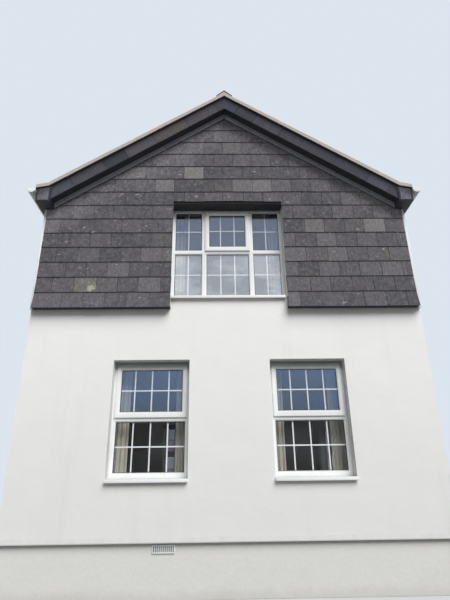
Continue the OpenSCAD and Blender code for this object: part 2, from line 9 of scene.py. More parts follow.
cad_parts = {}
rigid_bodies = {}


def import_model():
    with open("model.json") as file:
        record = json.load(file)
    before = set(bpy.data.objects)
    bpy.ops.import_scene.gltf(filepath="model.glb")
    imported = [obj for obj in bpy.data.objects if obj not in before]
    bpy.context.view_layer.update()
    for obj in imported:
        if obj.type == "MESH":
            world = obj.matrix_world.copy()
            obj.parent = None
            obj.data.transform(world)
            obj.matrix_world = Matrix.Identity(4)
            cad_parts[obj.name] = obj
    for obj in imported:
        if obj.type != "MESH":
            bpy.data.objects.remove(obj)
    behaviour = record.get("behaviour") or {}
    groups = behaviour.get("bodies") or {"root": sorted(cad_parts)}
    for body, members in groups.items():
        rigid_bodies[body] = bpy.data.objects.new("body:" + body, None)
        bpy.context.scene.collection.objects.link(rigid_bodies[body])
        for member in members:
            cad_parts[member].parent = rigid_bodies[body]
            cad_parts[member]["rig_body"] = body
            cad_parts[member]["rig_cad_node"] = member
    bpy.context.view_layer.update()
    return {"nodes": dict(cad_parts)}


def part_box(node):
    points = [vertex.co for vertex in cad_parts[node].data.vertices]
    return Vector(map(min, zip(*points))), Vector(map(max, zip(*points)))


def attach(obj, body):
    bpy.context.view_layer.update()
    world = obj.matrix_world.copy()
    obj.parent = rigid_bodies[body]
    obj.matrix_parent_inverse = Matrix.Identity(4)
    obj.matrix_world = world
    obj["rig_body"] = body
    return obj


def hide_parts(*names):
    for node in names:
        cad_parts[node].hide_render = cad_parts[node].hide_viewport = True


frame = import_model()


# Plinth
# The wing stands on a rendered masonry plinth, painted off-white by brush. Rain
# splashes soil on its foot, and green growth stains it just over the ground.
class Level:
    """A value, colour or vector in a finish's network, for use in sums."""

    def __init__(self, finish, socket):
        self.finish = finish
        self.socket = socket

    def maths(self, operation, first, second=0.0):
        return self.finish.node("ShaderNodeMath", {"operation": operation}, {0: first, 1: second})

    def __add__(self, other):
        return self.maths("ADD", self, other)

    __radd__ = __add__

    def __sub__(self, other):
        return self.maths("SUBTRACT", self, other)

    def __rsub__(self, other):
        return self.maths("SUBTRACT", other, self)

    def __mul__(self, other):
        return self.maths("MULTIPLY", self, other)

    __rmul__ = __mul__

    def __lt__(self, other):
        return self.maths("LESS_THAN", self, other)

    def __abs__(self):
        return self.maths("ABSOLUTE", self)

    def __floor__(self):
        return self.maths("FLOOR", self)


class Finish:
    """One material: its shader's fixed values, and the network that varies the rest over a surface."""

    def __init__(self, name, **fixed):
        self.name = name
        self.material = bpy.data.materials.new(name)
        self.material.use_nodes = True
        self.tree = self.material.node_tree
        self.shader = self.tree.nodes["Principled BSDF"]
        for socket, value in fixed.items():
            self.shader.inputs[socket.replace("_", " ")].default_value = value
        self.place = self.node("ShaderNodeTexCoord", out="Object")

    def node(self, kind, settings=None, sockets=None, out=0):
        """Adds a node, sets it, fills its sockets with values or links, and gives one of its outputs."""
        node = self.tree.nodes.new(kind)
        for setting, value in (settings or {}).items():
            if setting == "stops":
                self.set_stops(node.color_ramp, value)
            else:
                setattr(node, setting, value)
        for socket, value in (sockets or {}).items():
            if isinstance(value, Level):
                self.tree.links.new(value.socket, node.inputs[socket])
            else:
                node.inputs[socket].default_value = value
        return Level(self, node.outputs[out])

    def set_stops(self, ramp, stops):
        while len(ramp.elements) < len(stops):
            ramp.elements.new(1.0)
        for element, (position, colour) in zip(ramp.elements, stops):
            element.position = position
            element.color = paint(colour)

    def axis(self, name):
        """The distance along one of the axes."""
        return self.node("ShaderNodeSeparateXYZ", sockets={0: self.place}, out=name)

    def upward(self):
        """How far the surface faces up, from -1 to 1."""
        facing = self.node("ShaderNodeNewGeometry", out="Normal")
        return self.node("ShaderNodeSeparateXYZ", sockets={0: facing}, out="Z")

    def number(self, name):
        """A number that a piece's own points carry."""
        return self.node("ShaderNodeAttribute", {"attribute_name": name}, out="Fac")

    def noise(self, scale, stretch=(1, 1, 1), detail=3.0, roughness=0.5):
        """Soft random patches, scale of them to a metre, from 0 to 1."""
        place = self.node("ShaderNodeVectorMath", {"operation": "MULTIPLY"}, {0: self.place, 1: stretch})
        return self.node("ShaderNodeTexNoise", sockets={
            "Vector": place, "Scale": scale, "Detail": detail, "Roughness": roughness})

    def fade(self, value, start, end, low=0.0, high=1.0):
        """Passes smoothly from low to high as a value goes from start to end."""
        return self.node("ShaderNodeMapRange", {"interpolation_type": "SMOOTHSTEP"}, {
            "Value": value, "From Min": start, "From Max": end, "To Min": low, "To Max": high})

    def ramp(self, value, *stops):
        """Passes from colour to colour as a value goes through the stops, from 0 to 1."""
        return self.node("ShaderNodeValToRGB", {"stops": stops}, {0: value})

    def mix(self, share, first, second, how="MIX"):
        """Mixes two colours by a share from 0 to 1."""
        return self.node("ShaderNodeMix", {"data_type": "RGBA", "blend_type": how}, {
            0: share, 6: paint(first), 7: paint(second)}, out=2)

    def coats(self, colour, *layers):
        """Lays thin coats over a colour, each with its share from 0 to 1, its tint and how it mixes."""
        for share, tint, *how in layers:
            colour = self.mix(share, colour, tint, *how)
        return colour

    def set(self, socket, level):
        self.tree.links.new(level.socket, self.shader.inputs[socket])

    def surface(self, colour, roughness, relief=None, depth=0.0):
        """Sets colour and roughness, and turns a relief from 0 to 1 into bumps of a depth in metres."""
        self.set("Base Color", colour)
        self.set("Roughness", roughness)
        if depth:
            self.set("Normal", self.node("ShaderNodeBump", sockets={"Height": relief, "Distance": depth}))


def paint(colour):
    """A colour as seen on a screen, from 0 to 255, in the renderer's own values. A link stays as it is."""
    if isinstance(colour, Level):
        return colour
    parts = [part / 255 for part in colour]
    parts = [part / 12.92 if part < 0.04045 else ((part + 0.055) / 1.055) ** 2.4 for part in parts]
    return (*parts, 1.0)


def coat(finish, *nodes):
    """Puts a finish on parts that keep their plain shape."""
    for name in nodes:
        mesh = frame["nodes"][name].data
        mesh.materials.clear()
        mesh.materials.append(finish.material)


SPLASH_LOW = 0.08
SPLASH_H = 0.22
GROWTH_H = 0.45
plinth_paint = Finish("plinth_paint", IOR=1.45)
brushing = plinth_paint.noise(30, detail=5)
height = plinth_paint.axis("Z")
splash = plinth_paint.fade(height + plinth_paint.noise(7) * 0.16, SPLASH_LOW, SPLASH_H, 1, 0)
growth = plinth_paint.fade(plinth_paint.noise(3.5), 0.45, 0.75)
growth = growth * plinth_paint.fade(height, 0, GROWTH_H, 1, 0)
colour = plinth_paint.coats(
    plinth_paint.mix(brushing, (208, 207, 203), (220, 219, 216)),
    (splash * 0.22, (160, 154, 142)), (growth * 0.15, (164, 168, 150)))
relief = brushing * 0.4 + plinth_paint.noise(2.5) * 1.5
plinth_paint.surface(colour, 0.62 + 0.25 * brushing, relief, 0.003)
coat(plinth_paint, "plinth")


# Ground floor
# A concrete slab on hardcore, power-floated. It shows only through the windows,
# as a plain grey floor with the float's faint rings.
def mottled(name, scale, detail, dark, light, rough, uneven, depth=0.0, **fixed):
    """A finish that goes from dark to light in soft patches, rougher and higher where it is light."""
    finish = Finish(name, **fixed)
    patches = finish.noise(scale, detail=detail)
    finish.surface(finish.mix(patches, dark, light), rough + uneven * patches, patches, depth)
    return finish


slab_concrete = mottled("slab_concrete", 9, 6, (126, 123, 117), (158, 155, 148), 0.7, 0.2, 0.002, IOR=1.5)
coat(slab_concrete, "ground_floor")


# Walls and the drip over the plinth
# Block walls with a floated sand and cement render, painted white. The render kicks
# out over the plinth on a bead, and rain has left faint streaks down it.
wall_render = Finish("wall_render", IOR=1.45)
sand = wall_render.noise(420, detail=2)
trowel = wall_render.noise(2.2, detail=4)
streaks = wall_render.fade(wall_render.noise(5, stretch=(1, 1, 0.08), detail=4), 0.52, 0.75)
# Painted shade: the render is painted darker towards the wall's foot, fading out by 3.6 m up.
painted_low_shade = wall_render.fade(wall_render.axis("Z"), 0.4, 3.6, 0.75, 0)
colour = wall_render.coats(
    wall_render.mix(trowel, (233, 233, 232), (240, 240, 238)),
    (painted_low_shade, (219, 219, 217)), (streaks * 0.14, (198, 198, 191)))
wall_render.surface(colour, 0.72 + 0.2 * sand, sand * 0.35 + trowel * 3, 0.003)
coat(wall_render, "front_wall", "back_wall", "left_wall", "right_wall")
# Painted shade: the bead's render is painted darker than the wall's, in streaky patches, so that its upward
# slope does not read bright.
drip_render = Finish("drip_render", IOR=1.45)
streaky_painted_shade = drip_render.noise(9, stretch=(1, 1, 0.2), detail=4)
colour = drip_render.mix(streaky_painted_shade, (184, 184, 181), (204, 204, 202))
drip_render.surface(colour, 0.75 + 0.15 * streaky_painted_shade, drip_render.noise(420, detail=2), 0.001)
coat(drip_render, "render_drip")


# First floor and roof boarding
# Softwood boards on joists and rafters, nailed down in 140 mm widths. The rafters
# and boarding carry the slates' battens.
BOARD_W = 0.140
JOINT_SHARE = 0.03
softwood = Finish("softwood", IOR=1.45)
grain = softwood.noise(45, stretch=(1, 0.06, 1), detail=5)
boards_across = softwood.axis("X") * (1 / BOARD_W)
board = math.floor(boards_across)
joint = boards_across - board < JOINT_SHARE
board_tone = softwood.node("ShaderNodeTexWhiteNoise", {"noise_dimensions": "1D"}, {"W": board})
colour = softwood.coats(
    softwood.mix(grain, (166, 128, 86), (198, 162, 114)),
    (board_tone * 0.35, (150, 112, 74)), (joint, (58, 42, 30)))
softwood.surface(colour, 0.5 + 0.3 * grain, grain * 0.3 + (1 - joint), 0.002)
coat(softwood, "first_floor", "left_roof_deck", "right_roof_deck")


# Upper ceiling
# Plasterboard under the ceiling joists, skimmed and painted. It closes the rooms
# from the roof space, and shows only through the upper windows.
ceiling_paint = mottled("ceiling_paint", 6, 5, (226, 223, 216), (236, 234, 228), 0.8, 0.1, 0.002, IOR=1.45)
coat(ceiling_paint, "attic_ceiling")


# Soffits and eaves boards
# Boards under the verges and along the eaves, stained nearly black and nailed to the
# rafters' ends. Their long grain shows faintly through the stain.
dark_stain = Finish("dark_stain", IOR=1.45)
grain = dark_stain.noise(70, stretch=(0.2, 0.2, 1), detail=5)
fading = dark_stain.noise(5, detail=2)
colour = dark_stain.coats(dark_stain.mix(grain, (30, 30, 35), (50, 50, 56)), (fading * 0.4, (64, 63, 66)))
dark_stain.surface(colour, 0.5 + 0.3 * grain, grain, 0.0012)
coat(dark_stain, "front_verge_soffit", "back_verge_soffit", "left_eaves_box", "right_eaves_box",
     "front_box_ends", "back_box_ends")


# Roof battens
# Sawn battens, nailed through the felt to the boarding, one to each course. The
# slates hang on them, and their ends show only where the verge's mortar stops.
def block(name, low, high):
    """A box between two corners, alone in the selection."""
    low, high = Vector(low), Vector(high)
    bpy.ops.object.select_all(action="DESELECT")
    bpy.ops.mesh.primitive_cube_add(size=1, location=(low + high) / 2, scale=high - low)
    bpy.ops.object.transform_apply(location=True, rotation=True, scale=True)
    piece = bpy.context.object
    piece.name = name
    return piece


def take(*pieces):
    """Selects pieces and nothing else, with the first of them active."""
    close()
    bpy.ops.object.select_all(action="DESELECT")
    for piece in pieces:
        piece.select_set(True)
    bpy.context.view_layer.objects.active = pieces[0]


def pick(piece, kind, test):
    """Opens a piece for editing, with the parts selected that a test on their middle and direction names."""
    take(piece)
    bpy.ops.object.mode_set(mode="EDIT")
    bpy.ops.mesh.select_mode(type=kind)
    bpy.ops.mesh.select_all(action="DESELECT")
    close()
    points = piece.data.vertices
    if kind == "FACE":
        for face in piece.data.polygons:
            face.select = test(face.center, face.normal)
    elif kind == "EDGE":
        for edge in piece.data.edges:
            start, end = (points[i].co for i in edge.vertices)
            edge.select = test((start + end) / 2, end - start)
    else:
        for point in points:
            point.select = test(point.co, point.normal)
    bpy.ops.object.mode_set(mode="EDIT")


def whole(middle, direction):
    """The test that names every part of a piece."""
    return True


def close():
    """Ends the editing of a piece."""
    if bpy.context.mode != "OBJECT":
        bpy.ops.object.mode_set(mode="OBJECT")


def ease(piece, width, test, segments=1):
    """Bevels the edges that a test names."""
    pick(piece, "EDGE", test)
    bpy.ops.mesh.bevel(offset=width, segments=segments)
    close()


def join(name, pieces):
    """Settles placed pieces where they lie and makes them one piece."""
    take(*pieces)
    bpy.ops.object.transform_apply(location=True, rotation=True, scale=True)
    if len(pieces) > 1:
        bpy.ops.object.join()
    piece = bpy.context.object
    piece.name = name
    return piece


def dress(piece, finish, slot, *replaced):
    """Gives a finished piece its material and its body, and the plain nodes that it stands for. The slot is
    not used.
    """
    piece.data.materials.clear()
    piece.data.materials.append(finish.material)
    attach(piece, "root")
    if replaced:
        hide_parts(*replaced)


def placing(x, y, z, origin):
    """The placing that turns a thing's own axes to three directions and its origin to a point."""
    place = Matrix((x, y, z)).transposed().to_4x4()
    place.translation = origin
    return place


def face_frame(up, out, origin):
    """The place of a flat face: its own x runs across, y up and z out of it."""
    return placing(up.cross(out), up, out, origin)


PITCH = math.radians(34)
FOOT_PITCH = math.radians(11)
FOOT_INSET = 0.100
VERGE_OVERSAIL = 0.012
ROOF_GAUGE = 0.245
ROOF_COURSES = 12
BATTEN_W = 0.050
BATTEN_T = 0.016
BATTEN_SET_BACK = 0.020
BATTEN_EDGE = 0.002
wall_low, wall_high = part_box("front_wall")
roof_low, roof_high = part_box("left_roof_slates")
verge_y = roof_high.y + VERGE_OVERSAIL
apex_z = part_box("left_roof_deck")[1].z
foot_x = wall_high.x - FOOT_INSET
foot_z = apex_z - foot_x * math.tan(PITCH)
slope_l = foot_x / math.cos(PITCH)
slopes = ((-1, "left"), (1, "right"))


def slope_frame(side):
    """A slope's face, with its origin in the middle of its flatter foot's edge."""
    up = Vector((-side * math.cos(PITCH), 0, math.sin(PITCH)))
    out = Vector((side * math.sin(PITCH), 0, math.cos(PITCH)))
    return face_frame(up, out, Vector((side * foot_x, 0, foot_z)))


batten_y = verge_y - BATTEN_SET_BACK
for side, name in slopes:
    batten = block("batten", (-batten_y, 0, 0), (batten_y, BATTEN_W, BATTEN_T))
    ease(batten, BATTEN_EDGE, lambda middle, along: abs(along.x) > batten_y)
    rows = batten.modifiers.new("rows", "ARRAY")
    rows.count = ROOF_COURSES
    rows.use_relative_offset = False
    rows.use_constant_offset = True
    rows.constant_offset_displace = (0, ROOF_GAUGE, 0)
    bpy.ops.object.modifier_apply(modifier=rows.name)
    batten.matrix_world = slope_frame(side)
    dress(join(f"{name}_roof_battens", [batten]), softwood, "timber")


# Roof slates
# Natural riven slates, 300 mm wide, holed and nailed in half bond with a double lap.
# A course of short slates turns flatter at the eaves, over the gutter.
SLATES_ACROSS = 24
FULL_WIDTHS = [1] * SLATES_ACROSS
HALF_BOND = [1.5] + [1] * (SLATES_ACROSS - 3) + [1.5]
SLATE_L = 0.560
SLATE_T = 0.008
SLATE_GAP = 0.004
VERGE_COVER = 0.008
BUILD_UP = 0.050
COURSE_STEP = 0.010
RIDGE_CLEARANCE = 0.010
TAIL_SLIP = 0.002
EAVES_EDGE = 0.048
EAVES_SHARE = 0.45
EAVES_LAYER_T = 0.010
EAVES_LAYER_BACK = 0.004
EDGE_CHIP = 0.003
UNEVENNESS = 0.0012
NEAR = 1e-4
slates_y = verge_y - VERGE_COVER
slate_w = slates_y * 2 / SLATES_ACROSS
eaves_x = max(abs(roof_low.x), abs(roof_high.x))
dice = random.Random(34)


def divide(piece, cuts, test):
    """Divides the edges that a test names, and the faces between them."""
    pick(piece, "EDGE", test)
    bpy.ops.mesh.subdivide(number_cuts=cuts)
    close()


def roughen(piece, offset, seed, test=whole):
    """Shakes the points that a test names, as much as a distance."""
    pick(piece, "VERT", test)
    bpy.ops.transform.vertex_random(offset=offset, seed=seed)
    close()


def riven_slate(name, width, length, thickness, seed):
    """A slate on its back, its tail's middle at the origin and its face up, dressed at the edges."""
    slate = block(name, (-width / 2, 0, -thickness), (width / 2, length, 0))
    divide(slate, 4, lambda middle, along: abs(along.x) > width / 2)
    divide(slate, 3, lambda middle, along: abs(along.y) > length / 2)
    ease(slate, min(EDGE_CHIP, thickness / 3), lambda middle, along: middle.z > -NEAR and (
        middle.y < NEAR or abs(middle.x) > width / 2 - NEAR))
    roughen(slate, UNEVENNESS, seed)
    return slate


def twin(model):
    """A copy of a modelled piece, with its own mesh."""
    copy = model.copy()
    copy.data = model.data.copy()
    bpy.context.collection.objects.link(copy)
    return copy


def mark(piece, name, value):
    """Gives every point of a piece a number that its finish reads."""
    points = piece.data.attributes.new(name, "FLOAT", "POINT")
    points.data.foreach_set("value", [value] * len(piece.data.vertices))


def lay(model, face, tail, up, out, tone, width=1.0, length=1.0):
    """Copies a slate onto a face. Its tail's middle and its directions up and out are the face's own."""
    slate = twin(model)
    slate.matrix_world = face @ placing(up.cross(out) * width, up * length, out, tail)
    mark(slate, "tone", tone)
    return slate


def lay_course(models, face, widths, foot, run, lift, length, slip=0.0):
    """Lays a course of slates across a slope, with their tails at a foot's y and z, or a slip off it."""
    course = []
    start = -slates_y
    for width in widths:
        middle = start + width * slate_w / 2
        start += width * slate_w
        tail_y = foot[0] + (dice.uniform(-slip, slip) if slip else 0)
        tail = Vector((middle, tail_y, foot[1]))
        course.append(lay(dice.choice(models), face, tail, run, lift, dice.random(), width, length))
    return course


def scrap(models):
    """Clears away models that have been copied."""
    for model in models:
        bpy.data.objects.remove(model)


roof_slate = Finish("roof_slate", IOR=1.5)
cleft = roof_slate.noise(40, stretch=(0.25, 1, 0.25), detail=6, roughness=0.6)
lichen = roof_slate.fade(roof_slate.noise(16, detail=4), 0.62, 0.7)
lichen = lichen * roof_slate.fade(roof_slate.noise(3), 0.4, 0.6)
tones = roof_slate.ramp(
    roof_slate.number("tone"), (0.0, (74, 73, 78)), (0.5, (92, 90, 94)), (0.88, (104, 102, 105)),
    (0.96, (103, 97, 94)), (1.0, (96, 96, 105)))
colour = roof_slate.coats(tones, (cleft * 0.5, (62, 61, 66)), (lichen * 0.5, (150, 150, 132)))
roof_slate.surface(colour, 0.42 + 0.3 * cleft, cleft, 0.003)
roof_models = [riven_slate("roof_slate", slate_w - SLATE_GAP, SLATE_L, SLATE_T, seed) for seed in range(6)]
for side, name in slopes:
    face = slope_frame(side)
    run = Vector((0, ROOF_GAUGE, -COURSE_STEP)).normalized()
    lift = Vector((0, COURSE_STEP, ROOF_GAUGE)).normalized()
    laid = []
    for course in range(ROOF_COURSES + 1):
        foot = course * ROOF_GAUGE
        length = min(SLATE_L, slope_l - foot - RIDGE_CLEARANCE) / SLATE_L
        widths = FULL_WIDTHS if course % 2 else HALF_BOND
        laid += lay_course(roof_models, face, widths, (foot, BUILD_UP), run, lift, length, TAIL_SLIP)
    eaves_z = foot_z - math.tan(FOOT_PITCH) * (eaves_x - foot_x) + EAVES_EDGE
    tail_at = face.inverted() @ Vector((side * eaves_x, 0, eaves_z))
    run = (Vector((0, 0, BUILD_UP - COURSE_STEP)) - tail_at).normalized()
    lift = Vector((1, 0, 0)).cross(run)
    under_at = tail_at - lift * EAVES_LAYER_T + run * EAVES_LAYER_BACK
    for widths, foot in ((FULL_WIDTHS, tail_at), (HALF_BOND, under_at)):
        laid += lay_course(roof_models, face, widths, (foot.y, foot.z), run, lift, EAVES_SHARE)
    slates = join(f"{name}_roof_slates_laid", laid)
    bpy.ops.object.shade_flat()
    dress(slates, roof_slate, "roof_slate", f"{name}_roof_slates")
scrap(roof_models)


# Ridge
# Angled clay ridge tiles, 450 mm long, bedded on cement mortar over the top courses.
# The mortar shows at their edges, at their joints and at the gables' ends.
TILE_COUNT = 16
TILE_WING = 0.126
TILE_T = 0.018
TILE_LIFT = 0.080
TILE_JOINT = 0.006
TILE_PITCH = math.radians(41)
TILE_EDGE = 0.004
TILE_SLIP = 0.002
TILE_SINK = 0.0015
BED_WING = 0.112
BED_BITE = 0.004
BED_SET_BACK = 0.008
BED_CUTS = 90
LUMPINESS = 0.003


def cut(piece, point, outward):
    """Cuts a closed piece at a plane and drops what lies on its outward side."""
    pick(piece, "VERT", whole)
    bpy.ops.mesh.bisect(plane_co=point, plane_no=outward, use_fill=True, clear_outer=True)
    bpy.ops.mesh.select_all(action="SELECT")
    bpy.ops.mesh.normals_make_consistent(inside=False)
    close()


def smooth(piece, degrees):
    """Shades a piece smoothly over the edges that turn less than an angle."""
    take(piece)
    bpy.ops.object.shade_smooth_by_angle(angle=math.radians(degrees))


def roof_angle(name, wing, low, high, start, end):
    """A bar bent over the ridge, between two heights over the boarding's apex."""
    bar = block(name, (-wing, start, low), (wing, end, high))
    divide(bar, 1, lambda middle, along: abs(along.x) > wing)
    pick(bar, "VERT", lambda point, normal: abs(point.x) > wing / 2)
    bpy.ops.transform.translate(value=(0, 0, -wing * math.tan(TILE_PITCH)))
    close()
    return bar


ridge_clay = Finish("ridge_clay", IOR=1.5)
firing = ridge_clay.noise(8, detail=5)
spots = ridge_clay.fade(ridge_clay.noise(30), 0.6, 0.68)
colour = ridge_clay.coats(
    ridge_clay.mix(firing, (74, 62, 56), (104, 88, 78)), (spots * 0.6, (168, 158, 130)))
ridge_clay.surface(colour, 0.55 + 0.3 * firing, firing, 0.002)
tile_l = 2 * verge_y / TILE_COUNT
tile_low = TILE_LIFT / math.cos(PITCH)
tile_high = tile_low + TILE_T / math.cos(PITCH)
tile = roof_angle("ridge_tile", TILE_WING, tile_low, tile_high, TILE_JOINT / 2, tile_l - TILE_JOINT / 2)
ease(tile, TILE_EDGE, whole, segments=2)
tiles = []
for number in range(TILE_COUNT):
    copy = twin(tile)
    slip = dice.uniform(-TILE_SLIP, TILE_SLIP)
    copy.location = (slip, number * tile_l - verge_y, apex_z + dice.uniform(-TILE_SINK, 0.0))
    tiles.append(copy)
scrap([tile])
ridge = join("ridge_tiles_laid", tiles)
smooth(ridge, 40)
dress(ridge, ridge_clay, "ridge_clay", "ridge_tiles")

pale_mortar = Finish("pale_mortar", IOR=1.45)
lumps = pale_mortar.noise(60, detail=5, roughness=0.65)
orange = pale_mortar.fade(pale_mortar.noise(9, detail=4), 0.54, 0.66)
colour = pale_mortar.coats(
    pale_mortar.mix(lumps, (146, 138, 131), (212, 203, 195)), (orange * 0.4, (204, 168, 136)))
pale_mortar.surface(colour, 0.85 + 0.1 * lumps, lumps, 0.006)
bed_low = (BUILD_UP - BED_BITE) / math.cos(PITCH)
bed_end = verge_y - BED_SET_BACK
bed = roof_angle("ridge_mortar", BED_WING, bed_low, tile_low + BED_BITE, -bed_end, bed_end)
bed.location = (0, 0, apex_z)
bed = join("ridge_mortar", [bed])
divide(bed, BED_CUTS, lambda middle, along: abs(along.y) > verge_y)
roughen(bed, LUMPINESS, 5, lambda point, normal: abs(point.x) > BED_WING / 2)
smooth(bed, 50)
dress(bed, pale_mortar, "mortar")


# Bargeboards
# Boards that close the verges' ends, clad with long slates nailed on their faces. The
# slates come from several beds, so that some are brown and some bluish.
BARGE_H = 0.200
UNDERCLOAK_T = 0.012
BARGE_LENGTHS = (0.30, 0.62)
HAIR = 0.001
SPARE_L = 0.4
LUMP_L = 0.035
APEX_LAP = 0.16
APEX_REACH = 0.01
FOOT_LAP = 0.25
FACE_PLAY = 0.0015
gable_y = abs(wall_low.y)
barge_low, barge_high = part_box("back_bargeboard")
barge_back, barge_face = barge_low.y - gable_y, barge_high.y - gable_y
box_x = barge_high.x
gables = ((-1, "front"), (1, "back"))
UP, OUT = Vector((0, 1, 0)), Vector((0, 0, 1))


def gable_frame(side):
    """A gable's face: x across it as seen from outside, y up from the ground and z out from the render."""
    return face_frame(Vector((0, 0, 1)), Vector((0, side, 0)), Vector((0, side * gable_y, 0)))


def rake_frame(side, hand):
    """One rake of a gable: x along it from the apex, y square to it from the boarding's top, z out."""
    turn = Matrix.Rotation(-hand * PITCH, 4, "Z")
    return gable_frame(side) @ Matrix.Translation((0, apex_z, 0)) @ turn


def foot_frame(side, hand):
    """The flatter foot of a rake, from where the slope turns."""
    turn = Matrix.Rotation(-hand * FOOT_PITCH, 4, "Z")
    return gable_frame(side) @ Matrix.Translation((hand * foot_x, foot_z, 0)) @ turn


def trim_rake(piece, side, hand, start_x, end_x):
    """Cuts a piece on a rake upright at two distances from the gable's middle."""
    face = gable_frame(side)
    across = face.to_3x3() @ Vector((hand, 0, 0))
    cut(piece, face @ Vector((hand * start_x, 0, 0)), -across)
    cut(piece, face @ Vector((hand * end_x, 0, 0)), across)


def rake_bars(name, side, band, depth, start_x, end_x, frame_of=rake_frame, lumps=0):
    """A straight bar on each rake, over a band square to the slope and a depth out from the render."""
    reach = SPARE_L + (slope_l if frame_of is rake_frame else 0)
    pair = []
    for hand in (-1, 1):
        ends = sorted((-SPARE_L / 2 * hand, reach * hand))
        bar = block(name, (ends[0], band[0], depth[0]), (ends[1], band[1], depth[1]))
        if lumps:
            divide(bar, round(reach / LUMP_L), lambda middle, along: abs(along.x) > reach / 2)
            divide(bar, 2, lambda middle, along: abs(along.y) > (band[1] - band[0]) / 2)
            roughen(bar, lumps, 7 + hand)
        bar.matrix_world = frame_of(side, hand)
        bar = join(name, [bar])
        trim_rake(bar, side, hand, start_x, end_x)
        pair.append(bar)
    return pair


def rake_slates(name, side, band, depth, face_out, lengths, end_x, seed):
    """A row of cut slates up both rakes of a gable, butted end to end."""
    chooser = random.Random(seed)
    model = riven_slate(name, 1, band[1] - band[0], depth, seed)
    row = []
    for hand in (-1, 1):
        rake = rake_frame(side, hand)
        reach = -APEX_LAP
        while reach < slope_l:
            length = chooser.uniform(*lengths)
            tail = Vector((hand * (reach + length / 2), band[0], face_out - chooser.uniform(0, FACE_PLAY)))
            slate = lay(model, rake, tail, UP, OUT, chooser.random(), length - SLATE_GAP)
            if reach < APEX_REACH or reach + length > slope_l - FOOT_LAP:
                slate = join(name, [slate])
                trim_rake(slate, side, hand, 0, end_x)
            reach += length
            if slate.data.vertices:
                row.append(slate)
            else:
                scrap([slate])
    scrap([model])
    return row


def below_rake(finish):
    """How far a point lies under the boarding's top, square to the rake."""
    return (apex_z - finish.axis("Z")) * math.cos(PITCH) - abs(finish.axis("X")) * math.sin(PITCH)


mixed_slate = Finish("mixed_slate", IOR=1.5)
cleft = mixed_slate.noise(60, stretch=(1, 1, 0.3), detail=6, roughness=0.62)
stains = mixed_slate.fade(mixed_slate.noise(5, detail=4), 0.45, 0.75)
# Painted shade: the slates are darkened towards the top of the bargeboard, under the verge's overhang.
painted_verge_shade = mixed_slate.fade(below_rake(mixed_slate), 0.0, 0.14, 1, 0)
tones = mixed_slate.ramp(
    mixed_slate.number("tone"), (0.0, (50, 50, 60)), (0.28, (66, 64, 73)), (0.42, (84, 80, 86)),
    (0.55, (62, 70, 86)), (0.68, (60, 56, 64)), (0.8, (98, 86, 80)), (0.92, (70, 67, 75)),
    (1.0, (112, 111, 121)))
colour = mixed_slate.coats(
    tones, (mixed_slate.fade(cleft, 0.35, 0.75) * 0.5, (42, 40, 46)), (stains * 0.3, (96, 84, 78)),
    (painted_verge_shade * 0.75, (112, 112, 118), "MULTIPLY"))
mixed_slate.surface(colour, 0.45 + 0.3 * cleft, cleft, 0.003)
for side, name in gables:
    band = (-BARGE_H, -UNDERCLOAK_T)
    depth = (barge_back, barge_face - SLATE_T - HAIR)
    boards = rake_bars("board", side, band, depth, 0, box_x)
    dress(join(f"{name}_bargeboard_timber", boards), dark_stain, "dark_board")
    row = rake_slates("barge_slate", side, band, SLATE_T, barge_face, BARGE_LENGTHS, box_x, 61 + side)
    dress(join(f"{name}_bargeboard_slates", row), mixed_slate, "hung_slate", f"{name}_bargeboard")


# Verges
# The roof slates oversail each gable on an undercloak of thin slates. Lumpy cream
# mortar, spotted with orange lichen, covers the slates' ends.
MORTAR_H = 0.054
MORTAR_T = 0.013
MORTAR_SET_BACK = 0.003
UNDERCLOAK_LENGTHS = (0.35, 0.60)
verge_out = verge_y - gable_y
for side, name in gables:
    band = (-UNDERCLOAK_T, 0)
    depth = verge_out - HAIR - barge_back
    row = rake_slates("undercloak_slate", side, band, depth, verge_out - HAIR, UNDERCLOAK_LENGTHS, foot_x,
                      81 + side)
    depth = (barge_back, verge_out - 2 * HAIR)
    row += rake_bars("undercloak_foot", side, band, depth, foot_x, eaves_x, foot_frame)
    dress(join(f"{name}_undercloak", row), mixed_slate, "hung_slate")
    band = (0, MORTAR_H)
    depth = (verge_out - MORTAR_T, verge_out - MORTAR_SET_BACK)
    beds = rake_bars("mortar", side, band, depth, 0, foot_x, lumps=LUMPINESS)
    beds += rake_bars("mortar", side, band, depth, foot_x, eaves_x - 2 * HAIR, foot_frame, LUMPINESS)
    pointing = join(f"{name}_verge_mortar", beds)
    smooth(pointing, 50)
    dress(pointing, pale_mortar, "mortar", f"{name}_verge_pointing")


# Boxed ends of the eaves
# Each verge ends at a small boarded box that closes the eaves. A single lilac-grey
# slate is nailed on the middle of its front.
BOX_SLATE_T = 0.007
BOX_SLATE_L = 0.360
BOX_SLATE_RISE = 0.016
BOX_SLATE_DROP = 0.018
BOX_MARGIN = 0.026
box_low, box_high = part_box("back_box_ends")
box_face = box_high.y - gable_y
box_end_x = box_high.x
for side, name in gables:
    pair = []
    for hand in (-1, 1):
        width = box_end_x - box_x - 2 * BOX_MARGIN
        model = riven_slate("box_slate", width, BOX_SLATE_L, BOX_SLATE_T, 90 + hand)
        tail = Vector((hand * (box_x + box_end_x) / 2, box_low.z + BOX_SLATE_RISE, box_face + BOX_SLATE_T))
        slate = lay(model, gable_frame(side), tail, UP, OUT, 1.0)
        scrap([model])
        slate = join("box_slate", [slate])
        line = foot_frame(side, hand)
        cut(slate, line @ Vector((0, -UNDERCLOAK_T - BOX_SLATE_DROP, 0)), line.to_3x3() @ UP)
        pair.append(slate)
    dress(join(f"{name}_box_slates", pair), mixed_slate, "hung_slate")


